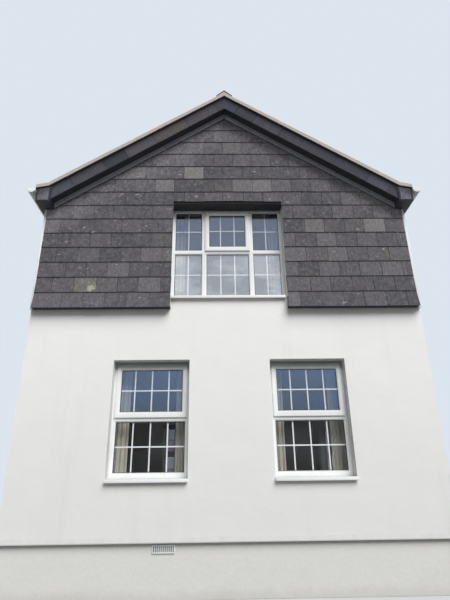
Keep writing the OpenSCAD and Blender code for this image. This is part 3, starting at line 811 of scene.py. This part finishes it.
# Hung slates
# Riven slates nailed to battens on the gable, each course lapping two below. The foot
# kicks out over a board to throw rain clear, and a cut course follows the rake.
HUNG_W = 0.300
HUNG_L = 0.500
HUNG_GAUGE = 0.239
HUNG_OUT = 0.070
HUNG_STEP = 0.009
HUNG_GAP = 0.0042
KICK = 0.050
KICK_SHARE = 0.3
FIRST_JOINT = 0.120
JOINT_PLAY = 0.012
LEAST_HALF_COURSE = 0.05
UNDER_COURSE_DROP = 0.004
RAKE_W = 0.072
RAKE_OUT = 0.102
RAKE_DROP = 0.162
RAKE_TUCK = 0.002
RAKE_LENGTHS = (0.24, 0.34)
NOTCH_LAPS = (0.030, 0.014)
HEAD_GAP = 0.024
HEAD_RAGGED = 1.5
MERGE_D = 1e-5
HUNG_SLIP = (-0.004, 0.003)
USUAL_TONE = 0.93
# Pale slates, each by its course and by a place across it from the gable's middle
ODD_SLATES = {
    (1, -2.05): 1.0, (3, 1.01): 0.92, (3, 1.59): 0.92, (5, 1.30): 0.94, (5, 2.18): 0.96, (9, -0.47): 0.97,
    (8, -0.92): 0.95, (8, 0.25): 0.94, (8, 0.52): 0.95}
LICHEN_AT = (-1.885, -3.40, 3.765)
# How far below the raking course the painted light on the slates reaches, and the grey that lightens them
PAINTED_LIFT_H = 0.65
PAINTED_LIFT_GREY = (206.4, 206.4, 206.4)


def merged_copy(node):
    """A copy of a plain part, open for editing all over, with its loose triangles merged."""
    take(frame["nodes"][node])
    bpy.ops.object.duplicate()
    copy = bpy.context.object
    pick(copy, "VERT", whole)
    bpy.ops.mesh.remove_doubles(threshold=MERGE_D)
    return copy


def solids_of(node):
    """The low and high corners of each separate solid in a plain part."""
    merged_copy(node)
    bpy.ops.mesh.separate(type="LOOSE")
    close()
    copies = list(bpy.context.selected_objects)
    corners = []
    for copy in copies:
        axes = list(zip(*(point.co for point in copy.data.vertices)))
        corners.append((Vector(min(axis) for axis in axes), Vector(max(axis) for axis in axes)))
    scrap(copies)
    return sorted(corners, key=lambda pair: tuple(round(value, 4) for value in (*pair[0], *pair[1])))


hang_low, hang_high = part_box("front_slate_hanging")
hang_foot, hang_x = hang_low.z, hang_high.x
openings = solids_of("front_window_frames")
gable_opening = max(openings, key=lambda pair: pair[1].z)
notch_mid = (gable_opening[0].x + gable_opening[1].x) / 2
opening_w = gable_opening[1].x - gable_opening[0].x
notch_head = gable_opening[1].z


def notch_sides(side):
    """Where the slates stop on the left and right of a gable's window, over the edges of its opening."""
    middle = -side * notch_mid
    return middle - opening_w / 2 + NOTCH_LAPS[0], middle + opening_w / 2 - NOTCH_LAPS[1]


def half_bond(low, high, course, chooser):
    """The slates of one course between two ends, in half bond, with none cut narrower than a third."""
    first = FIRST_JOINT + (HUNG_W / 2 if course % 2 else 0)
    count = math.ceil((low - first) / HUNG_W)
    joints = [low]
    while first + count * HUNG_W < high:
        joints.append(first + count * HUNG_W + chooser.uniform(-JOINT_PLAY, JOINT_PLAY))
        count += 1
    joints.append(high)
    if len(joints) > 2 and joints[1] - joints[0] < HUNG_W / 3:
        joints.pop(1)
    if len(joints) > 2 and joints[-1] - joints[-2] < HUNG_W / 3:
        joints.pop(-2)
    return list(zip(joints, joints[1:]))


def rake_limit(z):
    """How far across the field of slates reaches at a height, half way under the raking course."""
    return (apex_z - (RAKE_DROP + RAKE_W / 2) / math.cos(PITCH) - z) / math.tan(PITCH)


def hang_slate(model, side, course, low, high, drop, tone, over_window):
    """Hangs one slate between two joints, cut where it meets the rake or the window's head."""
    foot = hang_foot + course * HUNG_GAUGE
    out = HUNG_OUT + KICK * KICK_SHARE ** course
    fall = out - HUNG_OUT - KICK * KICK_SHARE ** (course + 1) + HUNG_STEP
    run = Vector((0, HUNG_GAUGE, -fall)).normalized()
    lift = Vector((0, fall, HUNG_GAUGE)).normalized()
    tail = Vector(((low + high) / 2, foot + drop, out))
    slate = lay(model, gable_frame(side), tail, run, lift, tone, (high - low) / HUNG_W)
    if max(abs(low), abs(high)) > rake_limit(foot + HUNG_L):
        slate = join(slate.name, [slate])
        for hand in (-1, 1):
            rake = rake_frame(side, hand)
            cut(slate, rake @ Vector((0, -RAKE_DROP - RAKE_W / 2, 0)), rake.to_3x3() @ UP)
    if over_window:
        slate = join(slate.name, [slate])
        cut(slate, Vector((0, 0, notch_head + HEAD_GAP + HEAD_RAGGED * drop)), Vector((0, 0, -1)))
    return slate


def hang_gable(side, name):
    """All the slates of one gable: its field in half bond round the window, and the short course behind
    its foot."""
    chooser = random.Random(700 + side)
    models = [riven_slate("hung_slate", HUNG_W, HUNG_L, SLATE_T, seed) for seed in range(20, 26)]
    left, right = notch_sides(side)
    gap = HUNG_GAP / 2
    hung = []
    course = 0
    while rake_limit(hang_foot + course * HUNG_GAUGE) > LEAST_HALF_COURSE:
        foot = hang_foot + course * HUNG_GAUGE
        edge = min(hang_x, rake_limit(foot))
        beside = foot + HUNG_GAUGE < notch_head
        fields = [(-edge, left), (right, edge)] if beside else [(-edge, edge)]
        spans = [span for field in fields for span in half_bond(*field, course, chooser)]
        for low, high in spans:
            tone = USUAL_TONE * chooser.random()
            drop = chooser.uniform(*HUNG_SLIP)
            model = chooser.choice(models)
            for (odd_course, x), odd_tone in ODD_SLATES.items():
                if course == odd_course and low < x < high:
                    tone = odd_tone
            cuts = [low + gap, high - gap]
            if foot < notch_head and not beside:
                cuts[1:1] = [x for x in (left, right) if low + gap < x < high - gap]
            for start, end in zip(cuts, cuts[1:]):
                over_window = not beside and foot < notch_head and left <= start and end <= right
                hung.append(hang_slate(model, side, course, start, end, drop, tone, over_window))
        course += 1
    for low, high in ((-hang_x, left), (right, hang_x)):
        for start, end in half_bond(low, high, 1, chooser):
            under = hang_slate(models[0], side, 0, start + gap, end - gap, UNDER_COURSE_DROP,
                               chooser.random(), False)
            inward = Matrix.Translation((0, -side * (SLATE_T + 2 * HAIR), 0))
            under.matrix_world = inward @ under.matrix_world
            hung.append(under)
    empty = [slate for slate in hung if not slate.data.vertices]
    scrap(models + empty)
    return join(name, [slate for slate in hung if slate not in empty])


hung_slate = Finish("hung_slate", IOR=1.5)
cleft = hung_slate.noise(60, stretch=(1, 1, 0.3), detail=6, roughness=0.68)
clouding = hung_slate.fade(hung_slate.noise(9, detail=4), 0.45, 0.8)
scuffs = hung_slate.fade(hung_slate.noise(16, stretch=(0.5, 0.5, 1.9), detail=5), 0.64, 0.72)
scuffs = scuffs * hung_slate.fade(hung_slate.noise(3.1, detail=1), 0.47, 0.56)
chips = hung_slate.fade(hung_slate.noise(42, stretch=(1, 1, 0.7), detail=4), 0.6, 0.7)
riving = hung_slate.fade(hung_slate.noise(21, stretch=(1, 1, 0.8), detail=7, roughness=0.72), 0.42, 0.68)
rust = hung_slate.fade(hung_slate.noise(4, detail=4), 0.6, 0.75)
# Painted shade: a dark band along the top of each course's face, under the butts of the course above.
courses_up = (hung_slate.axis("Z") - hang_foot) * (1 / HUNG_GAUGE)
painted_butt_shade = hung_slate.fade(courses_up - math.floor(courses_up), 0.90, 0.965)
spread = hung_slate.node("ShaderNodeVectorMath", {"operation": "DISTANCE"}, {
    0: hung_slate.place, 1: LICHEN_AT}, out="Value")
lichen = hung_slate.fade(spread + 0.22 * hung_slate.noise(22, detail=6, roughness=0.7), 0.11, 0.20, 1, 0)
# Painted light: the slates are lightened in a band below the raking course, lifting them out of the verge's
# shade.
painted_verge_lift = hung_slate.fade(below_rake(hung_slate), RAKE_DROP + 0.03, RAKE_DROP + PAINTED_LIFT_H, 1, 0)
tones = hung_slate.ramp(
    hung_slate.number("tone"), (0.0, (70, 68, 73)), (0.45, (83, 80, 85)), (0.8, (95, 92, 96)),
    (0.93, (107, 104, 107)), (0.97, (136, 132, 132)), (1.0, (112, 111, 104)))
colour = hung_slate.coats(
    tones, (hung_slate.fade(cleft, 0.35, 0.7) * 0.65, (54, 52, 56)), (riving * 0.34, (130, 127, 130)),
    (chips * 0.5, (142, 139, 141)), (clouding * 0.35, (112, 109, 112)), (rust * 0.18, (118, 98, 84)),
    (lichen * 0.75, (186, 184, 164)), (painted_verge_lift, PAINTED_LIFT_GREY, "DODGE"),
    (scuffs * 0.75, (182, 180, 178)), (painted_butt_shade * 0.6, (38, 36, 40)))
hung_slate.surface(colour, 0.45 + 0.3 * cleft, cleft, 0.003)

# The raking course is a paler, bluer slate, painted paler still: painted light that lifts it in the verge's
# shade.
blue_slate = Finish("blue_slate", IOR=1.5)
cleft = blue_slate.noise(60, stretch=(1, 1, 0.5), detail=6, roughness=0.62)
dots = blue_slate.fade(blue_slate.noise(20, detail=2), 0.66, 0.72)
colour = blue_slate.coats(
    blue_slate.mix(blue_slate.number("tone"), (168, 172, 184), (186, 189, 199)),
    (blue_slate.fade(cleft, 0.35, 0.75) * 0.35, (134, 138, 150)), (dots * 0.5, (200, 202, 208)))
blue_slate.surface(colour, 0.42 + 0.3 * cleft, cleft, 0.002)
for side, name in gables:
    dress(hang_gable(side, f"{name}_hung_slates"), hung_slate, "hung_slate", f"{name}_slate_hanging")
    band = (-RAKE_DROP - RAKE_W, -RAKE_DROP + RAKE_TUCK)
    row = rake_slates("rake_slate", side, band, SLATE_T, RAKE_OUT, RAKE_LENGTHS, box_x, 31 + side)
    dress(join(f"{name}_raking_slates", row), blue_slate, "hung_slate")


# Linings of the slate hanging
# Stained boards close the hanging's foot and line the head of the window's opening.
# Pale trims cover its ends at the wall's corners and beside the window.
LINING_T = 0.012
KICK_BOARD_T = 0.020
KICK_BOARD_W = 0.106
KICK_BOARD_RISE = 0.012
HEAD_BOARD_W = 0.060
HEAD_BATTEN = (0.020, 0.038)
BOARD_EDGE = 0.0015
TRIM_EDGE = 0.003
reveal_d = gable_y - abs(gable_opening[0].y)
lining_z = notch_head - LINING_T
kick_z = hang_foot + KICK_BOARD_RISE
for side, name in gables:
    middle = -side * notch_mid
    left, right = notch_sides(side)
    corners = [((low, kick_z, 0), (high, kick_z + KICK_BOARD_T, KICK_BOARD_W))
               for low, high in ((-hang_x, left), (right, hang_x))]
    corners.append(((left, lining_z, HAIR), (right, notch_head, HEAD_BOARD_W)))
    corners.append(((left, notch_head, HEAD_BATTEN[0]), (right, notch_head + BATTEN_W, HEAD_BATTEN[1])))
    corners.append(((middle - opening_w / 2, lining_z, -reveal_d), (middle + opening_w / 2, notch_head, 0)))
    boards = []
    for low, high in corners:
        board = block("board", low, high)
        ease(board, BOARD_EDGE, whole)
        board.matrix_world = gable_frame(side)
        boards.append(board)
    dress(join(f"{name}_hanging_boards", boards), dark_stain, "dark_board")


def soften(node, name, radius, finish):
    """Puts a merged copy of a plain part in its place, with its sharp edges eased."""
    copy = merged_copy(node)
    bpy.ops.mesh.dissolve_limited(angle_limit=math.radians(1))
    close()
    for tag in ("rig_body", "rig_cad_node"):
        del copy[tag]
    copy.parent = None
    copy.name = name
    easing = copy.modifiers.new("easing", "BEVEL")
    easing.width = radius
    easing.segments = 2
    easing.limit_method = "ANGLE"
    easing.angle_limit = math.radians(40)
    bpy.ops.object.modifier_apply(modifier=easing.name)
    smooth(copy, 35)
    dress(copy, finish, finish.name, node)


white_plastic = Finish("white_plastic", IOR=1.5)
dust = white_plastic.noise(14, stretch=(1, 1, 0.3), detail=5)
# Faces that turn up are darkened: settled dust, and painted shade that tones down their brightness.
upward_dust_and_shade = white_plastic.fade(white_plastic.upward(), 0.05, 0.7)
colour = white_plastic.coats(
    (234, 236, 236), (white_plastic.fade(dust, 0.5, 0.85) * 0.3, (196, 196, 186)),
    (upward_dust_and_shade * 0.9, (150, 148, 138)))
white_plastic.surface(colour, 0.3 + 0.25 * dust, white_plastic.noise(300, detail=1), 0.0003)
soften("slate_edge_trims", "corner_trims", TRIM_EDGE, white_plastic)


# Gutters
# Half-round plastic gutters in lengths clipped into brackets on the fascia. Short
# sleeves join the lengths, and stop ends close them.
GUTTER_R = 0.065
GUTTER_EDGE = 0.0012
BRACKET_EDGE = 0.001
SLEEVE_W = 0.060
SLEEVE_T = 0.003
SLEEVE_STEPS = 18
SLEEVES_AT = (-1.85, 0.15, 2.10)
gutter_low, gutter_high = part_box("right_gutter")
gutter_x = (gutter_low.x + gutter_high.x) / 2
rim_z = gutter_low.z + GUTTER_R
for side, name in slopes:
    soften(f"{name}_gutter", f"{name}_gutter_run", GUTTER_EDGE, white_plastic)
    sleeves = []
    for y in SLEEVES_AT:
        bpy.ops.object.select_all(action="DESELECT")
        rim_x = side * (gutter_x + GUTTER_R + SLEEVE_T / 2)
        bpy.ops.mesh.primitive_plane_add(size=1, location=(rim_x, y, rim_z))
        sleeve = bpy.context.object
        sleeve.scale = (SLEEVE_T, SLEEVE_W, 1)
        bpy.ops.object.transform_apply(location=True, rotation=True, scale=True)
        pick(sleeve, "FACE", whole)
        centre = (side * gutter_x, y, rim_z)
        bpy.ops.mesh.spin(steps=SLEEVE_STEPS, angle=-side * math.pi, center=centre, axis=(0, 1, 0))
        bpy.ops.mesh.select_all(action="SELECT")
        bpy.ops.mesh.normals_make_consistent(inside=False)
        close()
        sleeves.append(sleeve)
    sleeve = join(f"{name}_gutter_sleeves", sleeves)
    smooth(sleeve, 35)
    dress(sleeve, white_plastic, "white_plastic")
soften("gutter_brackets", "gutter_bracket_straps", BRACKET_EDGE, white_plastic)


# Window frames, sashes and sills
# White plastic frames welded at the corners, with a top-hung sash in the upper light
# of each, and a moulded sill under it that throws rain clear of the wall.
MOULDING_R = 0.0025
low_head = min(high.z for low, high in openings)
window_groups = ("front", "back", "side")
window_plastic = Finish("window_plastic", IOR=1.5)
grime = window_plastic.noise(18, detail=5)
# Faces that turn up are darkened: settled dust, and painted shade that tones down their brightness.
upward_dust_and_shade = window_plastic.fade(window_plastic.upward(), 0.1, 0.8)
# Painted shade: the frames are darkened just under the heads of the lower openings and of the gable's.
height = window_plastic.axis("Z") + 0.03 * window_plastic.noise(12)
painted_low_head_shade = window_plastic.fade(height, low_head - 0.12, low_head - 0.04)
painted_low_head_shade = painted_low_head_shade * window_plastic.fade(height, low_head + 0.16, low_head + 0.26, 1, 0)
painted_high_head_shade = window_plastic.fade(height, notch_head - 0.075, notch_head - 0.015, 0, 1.4)
colour = window_plastic.coats(
    (233, 234, 234), (window_plastic.fade(grime, 0.5, 0.9) * 0.25, (205, 206, 200)),
    (upward_dust_and_shade * 0.85, (188, 188, 184)), ((painted_low_head_shade * 1.5 + painted_high_head_shade) * 0.4, (96, 96, 94)))
window_plastic.surface(colour, 0.22 + 0.2 * grime, window_plastic.noise(240, detail=1), 0.0002)
for group in window_groups:
    for part in ("window_frames", "sashes", "sills"):
        soften(f"{group}_{part}", f"{group}_{part}_moulded", MOULDING_R, window_plastic)


# Sealed glass units
# Each light holds a sealed unit: two panes of glass on a metal spacer, with white bars
# between them that divide it. The glass is a part mirror whose tint and strength are a
# painted reflection, set by height with painted clouds over it.
PANE_T = 0.004
PANE_EDGE = 0.0005
SPACER_W = 0.0115
SPACER_MARGIN = 0.001
SEALANT_T = 0.0002
BAR_W = 0.018
BAR_T = 0.008
CROSS_BAR_T = 0.00704
BAR_EDGE = 0.002
BAR_MARGIN = 0.0015
BAR_PITCH = 0.215
GLASS_BITE = 0.009
SKY_TOP = 5.2
VEILS = {"front": 0.0, "back": 0.4, "side": 0.4}
window_glass = Finish("window_glass", Metallic=1.0, Roughness=0.02)
# Painted reflection: painted clouds, and a tint by height: dark grey in the lower lights, blue in the sashes
# over them, white in the gable's lower lights and grey-blue above.
painted_clouds = window_glass.fade(window_glass.noise(2.4, stretch=(1, 1, 1.8), detail=5), 0.42, 0.62)
height = window_glass.axis("Z")
painted_reflection = window_glass.ramp(
    height * (1 / SKY_TOP), (0.0, (70, 72, 74)), (0.372, (70, 72, 74)), (0.386, (138, 156, 180)),
    (0.52, (160, 188, 224)), (0.69, (255, 255, 255)), (0.84, (252, 253, 255)), (0.86, (164, 174, 193)),
    (1.0, (155, 164, 182)))
window_glass.set("Base Color", window_glass.mix(painted_clouds * 0.3, painted_reflection, (150, 158, 168)))
# How strongly the painted reflection shows: set by height, and raised by each inner pane's veil.
painted_reflection_share = window_glass.fade(height, 1.93, 2.03, 0.07, 0.15) + window_glass.fade(height, 3, 3.6, 0, 0.12)
window_glass.set("Alpha", painted_reflection_share + window_glass.number("veil"))

white_lacquer = mottled("white_lacquer", 40, 4, (230, 233, 236), (240, 242, 244), 0.3, 0.1, IOR=1.45)
spacer_metal = mottled("spacer_metal", 80, 3, (150, 152, 155), (182, 184, 187), 0.35, 0.2, Metallic=1.0)


def light_place(group, low, high):
    """The outer face of a unit, with its width, height and depth."""
    across = 1 if group == "side" else 0
    outward = Vector((0, 0, 0))
    outward[1 - across] = math.copysign(1, low[1 - across])
    size = high - low
    depth = size[1 - across]
    place = face_frame(Vector((0, 0, 1)), outward, (low + high) / 2 + outward * depth / 2)
    return place, size[across], size.z, depth


def slab(name, wide, tall, back, front, easing):
    """A flat piece on a unit's face, with its long edges eased."""
    piece = block(name, (-wide / 2, -tall / 2, back), (wide / 2, tall / 2, front))
    ease(piece, easing, lambda middle, along: abs(along.z) < 1e-6)
    return piece


def ring(name, wide, tall, thick, back, front):
    """A flat ring on a unit's face."""
    piece = block(name, (-wide / 2, -tall / 2, back), (wide / 2, tall / 2, front))
    pick(piece, "FACE", lambda middle, normal: abs(normal.z) > 0.5)
    bpy.ops.mesh.inset(thickness=thick)
    bpy.ops.mesh.bridge_edge_loops()
    close()
    return piece


def small_panes(wide):
    """How many small panes a unit is divided into across."""
    return max(2, round((wide - 2 * GLASS_BITE) / BAR_PITCH))


def unit_bars(wide, tall, depth):
    """The bars between a unit's panes. A sash's bars line up with those of the wider light below it."""
    columns = small_panes(wide)
    middle = -depth / 2
    bars = []
    for column in range(1, columns):
        bar = slab("bar", BAR_W, tall - 2 * BAR_MARGIN, middle - BAR_T / 2, middle + BAR_T / 2, BAR_EDGE)
        bar.location = ((column / columns - 0.5) * clear_widths[columns], 0, 0)
        bars.append(bar)
    half = CROSS_BAR_T / 2
    bars.append(slab("bar", wide - 2 * BAR_MARGIN, BAR_W, middle - half, middle + half, BAR_EDGE))
    return join("bars", bars)


units = {}
clear_widths = {}
for group in window_groups:
    units[group] = [light_place(group, *corners) for corners in solids_of(f"{group}_glass")]
    for _, wide, _, _ in units[group]:
        columns = small_panes(wide)
        clear_widths[columns] = max(clear_widths.get(columns, 0), wide - 2 * GLASS_BITE)
for group in window_groups:
    panes, spacers, bars = [], [], []
    for place, wide, tall, depth in units[group]:
        outer = slab("pane", wide, tall, -PANE_T, 0, PANE_EDGE)
        inner = slab("pane", wide, tall, -depth, PANE_T - depth, PANE_EDGE)
        mark(inner, "veil", VEILS[group])
        inset = PANE_T + SEALANT_T
        spacer = ring("spacer", wide - 2 * SPACER_MARGIN, tall - 2 * SPACER_MARGIN, SPACER_W,
                      inset - depth, -inset)
        grid = unit_bars(wide, tall, depth)
        for piece in (outer, inner, spacer, grid):
            piece.matrix_world = place
        panes += [outer, inner]
        spacers.append(spacer)
        bars.append(grid)
    both_panes = join(f"{group}_glass_panes", panes)
    both_panes.visible_shadow = False
    dress(both_panes, window_glass, "window_glass", f"{group}_glass")
    dress(join(f"{group}_spacers", spacers), spacer_metal, "window_plastic")
    dress(join(f"{group}_glazing_bars", bars), white_lacquer, "window_plastic")


# Gaskets
# A black rubber gasket is pressed between the frame and each face of its glass. It
# shows as a thin dark line round every light.
GASKET_W = 0.006
GASKET_T = 0.0012
GASKET_GAP = 0.0001
black_rubber = mottled("black_rubber", 60, 3, (38, 39, 41), (66, 67, 69), 0.6, 0.2, 0.0003, IOR=1.5)
for group in window_groups:
    seals = []
    for place, wide, tall, depth in units[group]:
        for back, front in ((GASKET_GAP, GASKET_T), (-depth - GASKET_T, -depth - GASKET_GAP)):
            seal = ring("gasket", wide - 2 * GLASS_BITE, tall - 2 * GLASS_BITE, GASKET_W, back, front)
            seal.matrix_world = place
            seals.append(seal)
    dress(join(f"{group}_gaskets", seals), black_rubber, "window_plastic")


# Air vent
# A slotted plastic cover screwed over an air brick in the plinth, which airs the
# space under the floor.
VENT_EDGE = 0.0012
soften("air_vent", "air_vent_cover", VENT_EDGE, white_plastic)


# Curtains and rails
# Lined cotton curtains gathered on a rail inside each front window, drawn back to its
# sides. The cloth is plain woven, cream, and hangs in soft folds.
PLEATS = 5
STEPS_A_PLEAT = 14
CURTAIN_ROWS = 26
FOLD_D = 0.020
CLOTH_T = 0.0016
THREADS = 260.0
curtain_cloth = Finish("curtain_cloth", IOR=1.45, Sheen_Weight=0.25)
weave_at = curtain_cloth.node("ShaderNodeTexCoord", out="UV")
weave, weft = (
    curtain_cloth.node("ShaderNodeTexWave", {"bands_direction": way}, {"Vector": weave_at, "Scale": THREADS})
    for way in ("X", "Y"))
slub = curtain_cloth.node("ShaderNodeTexNoise", sockets={"Vector": weave_at, "Scale": 30.0, "Detail": 4.0})
colour = curtain_cloth.mix(slub, (190, 186, 172), (208, 205, 193))
curtain_cloth.surface(colour, 0.82 + 0.1 * slub, weave * 0.5 + weft * 0.5, 0.0004)


def curtain(name, low, high, seed):
    """A gathered curtain between two corners, with its own UV map in metres."""
    chooser = random.Random(seed)
    columns = PLEATS * STEPS_A_PLEAT
    sway = [chooser.uniform(-0.5, 0.5) for _ in range(3)]
    points, flat = [], []
    for row in range(CURTAIN_ROWS + 1):
        drop = row / CURTAIN_ROWS
        run = 0.0
        for column in range(columns + 1):
            share = column / columns
            depth = FOLD_D * (0.85 + 0.2 * math.sin(5 * share + 3 * sway[0]) * drop)
            turn = 2 * math.pi * PLEATS * share + 0.9 * sway[1] * math.sin(2.2 * drop + 4 * share)
            middle = 0.003 * math.sin(3 * drop + 6 * share + sway[2])
            y = (low.y + high.y) / 2 + depth * math.sin(turn) + middle
            point = Vector((low.x + share * (high.x - low.x), y, high.z - drop * (high.z - low.z)))
            if column:
                run += (point - points[-1]).length
            points.append(point)
            flat.append((run, point.z))
    wide = columns + 1
    faces = [(at, at + wide, at + wide + 1, at + 1) for row in range(CURTAIN_ROWS)
             for at in range(row * wide, row * wide + columns)]
    mesh = bpy.data.meshes.new(name)
    mesh.from_pydata(points, [], faces)
    threads = mesh.uv_layers.new(name="threads")
    for loop in mesh.loops:
        threads.data[loop.index].uv = flat[loop.vertex_index]
    cloth = bpy.data.objects.new(name, mesh)
    bpy.context.collection.objects.link(cloth)
    take(cloth)
    lining = cloth.modifiers.new("lining", "SOLIDIFY")
    lining.thickness = CLOTH_T
    lining.offset = 0
    bpy.ops.object.modifier_apply(modifier=lining.name)
    smooth(cloth, 60)
    width = sum(run for run, _ in flat[columns::wide]) / (CURTAIN_ROWS + 1)
    return cloth, width, high.z - low.z


for number, (low, high) in enumerate(solids_of("front_curtains")):
    cloth, width, length = curtain(f"curtain_{number + 1}", low, high, 300 + number)
    replaced = ("front_curtains",) if number == 0 else ()
    dress(cloth, curtain_cloth, "curtain_cloth", *replaced)
coat(white_plastic, "front_curtain_rails")


# Floor and light
# A pale floor under a plain sky of even light. A wide soft lamp stands in front on
# the upper right, and weaker ones at the sides and behind.
FLOOR_W = 120
FLOOR_DROP = 0.002
SKY_LIGHT = (0.94, 0.97, 1.0, 1.0)
SKY_STRENGTH = 0.20
BACKDROP = (0.72, 0.78, 0.86, 1.0)
LAMP_DISTANCE = 15
# Each lamp's name, the direction of its light, its spread in degrees and its strength
LAMPS = (
    ("front_lamp", (-0.30, 0.61, -0.74), 44, 3.85),
    ("low_lamp", (-0.05, 0.99, -0.15), 60, 0.3),
    ("left_lamp", (0.90, -0.33, -0.28), 36, 1.9),
    ("right_lamp", (-0.90, -0.33, -0.28), 36, 0.9),
    ("back_lamp", (0.10, -0.80, -0.60), 50, 1.5))


class Sky(Finish):
    """The world's own network."""

    def __init__(self, name):
        world = bpy.data.worlds.new(name)
        bpy.context.scene.world = world
        world.use_nodes = True
        self.tree = world.node_tree
        self.tree.nodes.remove(self.tree.nodes["Background"])


def shown(finish):
    """One where a thing is seen, by the camera or in or through another, and nought where it only lights."""
    camera, gloss, glass = (finish.node("ShaderNodeLightPath", out=f"Is {ray} Ray")
                            for ray in ("Camera", "Glossy", "Transmission"))
    return camera + gloss + glass


bpy.ops.object.select_all(action="DESELECT")
bpy.ops.mesh.primitive_plane_add(size=FLOOR_W, location=(0, 0, -FLOOR_DROP))
floor = bpy.context.object
floor.name = "pale_floor"
floor_finish = Finish("pale_floor", Roughness=0.9)
pale = floor_finish.mix(floor_finish.noise(3), (186, 187, 187), (191, 192, 192))
floor_finish.set("Base Color", floor_finish.mix(shown(floor_finish), (88, 88, 86), pale))
floor.data.materials.append(floor_finish.material)

sky = Sky("plain_sky")
light = sky.node("ShaderNodeBackground", sockets={"Color": SKY_LIGHT, "Strength": SKY_STRENGTH})
backdrop = sky.node("ShaderNodeBackground", sockets={"Color": BACKDROP})
both = sky.node("ShaderNodeMixShader", sockets={0: shown(sky), 1: light, 2: backdrop})
sky.tree.links.new(both.socket, sky.tree.nodes["World Output"].inputs["Surface"])

for name, direction, spread, strength in LAMPS:
    light = bpy.data.lights.new(name, "SUN")
    light.angle = math.radians(spread)
    light.energy = strength
    lamp = bpy.data.objects.new(name, light)
    bpy.context.collection.objects.link(lamp)
    lamp.location = -LAMP_DISTANCE * Vector(direction)
    lamp.rotation_euler = Vector(direction).to_track_quat("-Z", "Y").to_euler()
    lamp.visible_glossy = False


# Camera
# It stands low before the gable and looks up at it, as the photograph does. Its place
# and angles were fitted to the wall's upright edges and level lines.
CAMERA_AT = Vector((-0.155, -9.347, 1.099))
CAMERA_PITCH = math.radians(22.413)
CAMERA_YAW = math.radians(1.226)
CAMERA_ROLL = math.radians(-0.789)
FOCAL_PIXELS = 467
FRAME_H_PIXELS = 600
SENSOR_H = 36
forward = Vector((math.sin(CAMERA_YAW) * math.cos(CAMERA_PITCH),
                  math.cos(CAMERA_YAW) * math.cos(CAMERA_PITCH), math.sin(CAMERA_PITCH)))
level = Vector((math.cos(CAMERA_YAW), -math.sin(CAMERA_YAW), 0))
upward = level.cross(forward)
camera_x = math.cos(CAMERA_ROLL) * level + math.sin(CAMERA_ROLL) * upward
camera_y = -math.sin(CAMERA_ROLL) * level + math.cos(CAMERA_ROLL) * upward
lens = bpy.data.cameras.new("camera")
lens.sensor_fit = "VERTICAL"
lens.sensor_width = SENSOR_H
lens.sensor_height = SENSOR_H
lens.lens = FOCAL_PIXELS / FRAME_H_PIXELS * SENSOR_H
camera = bpy.data.objects.new("camera", lens)
bpy.context.collection.objects.link(camera)
camera.matrix_world = placing(camera_x, camera_y, -forward, CAMERA_AT)
bpy.context.scene.camera = camera
bpy.context.scene.view_settings.view_transform = "Standard"

bpy.context.view_layer.update()
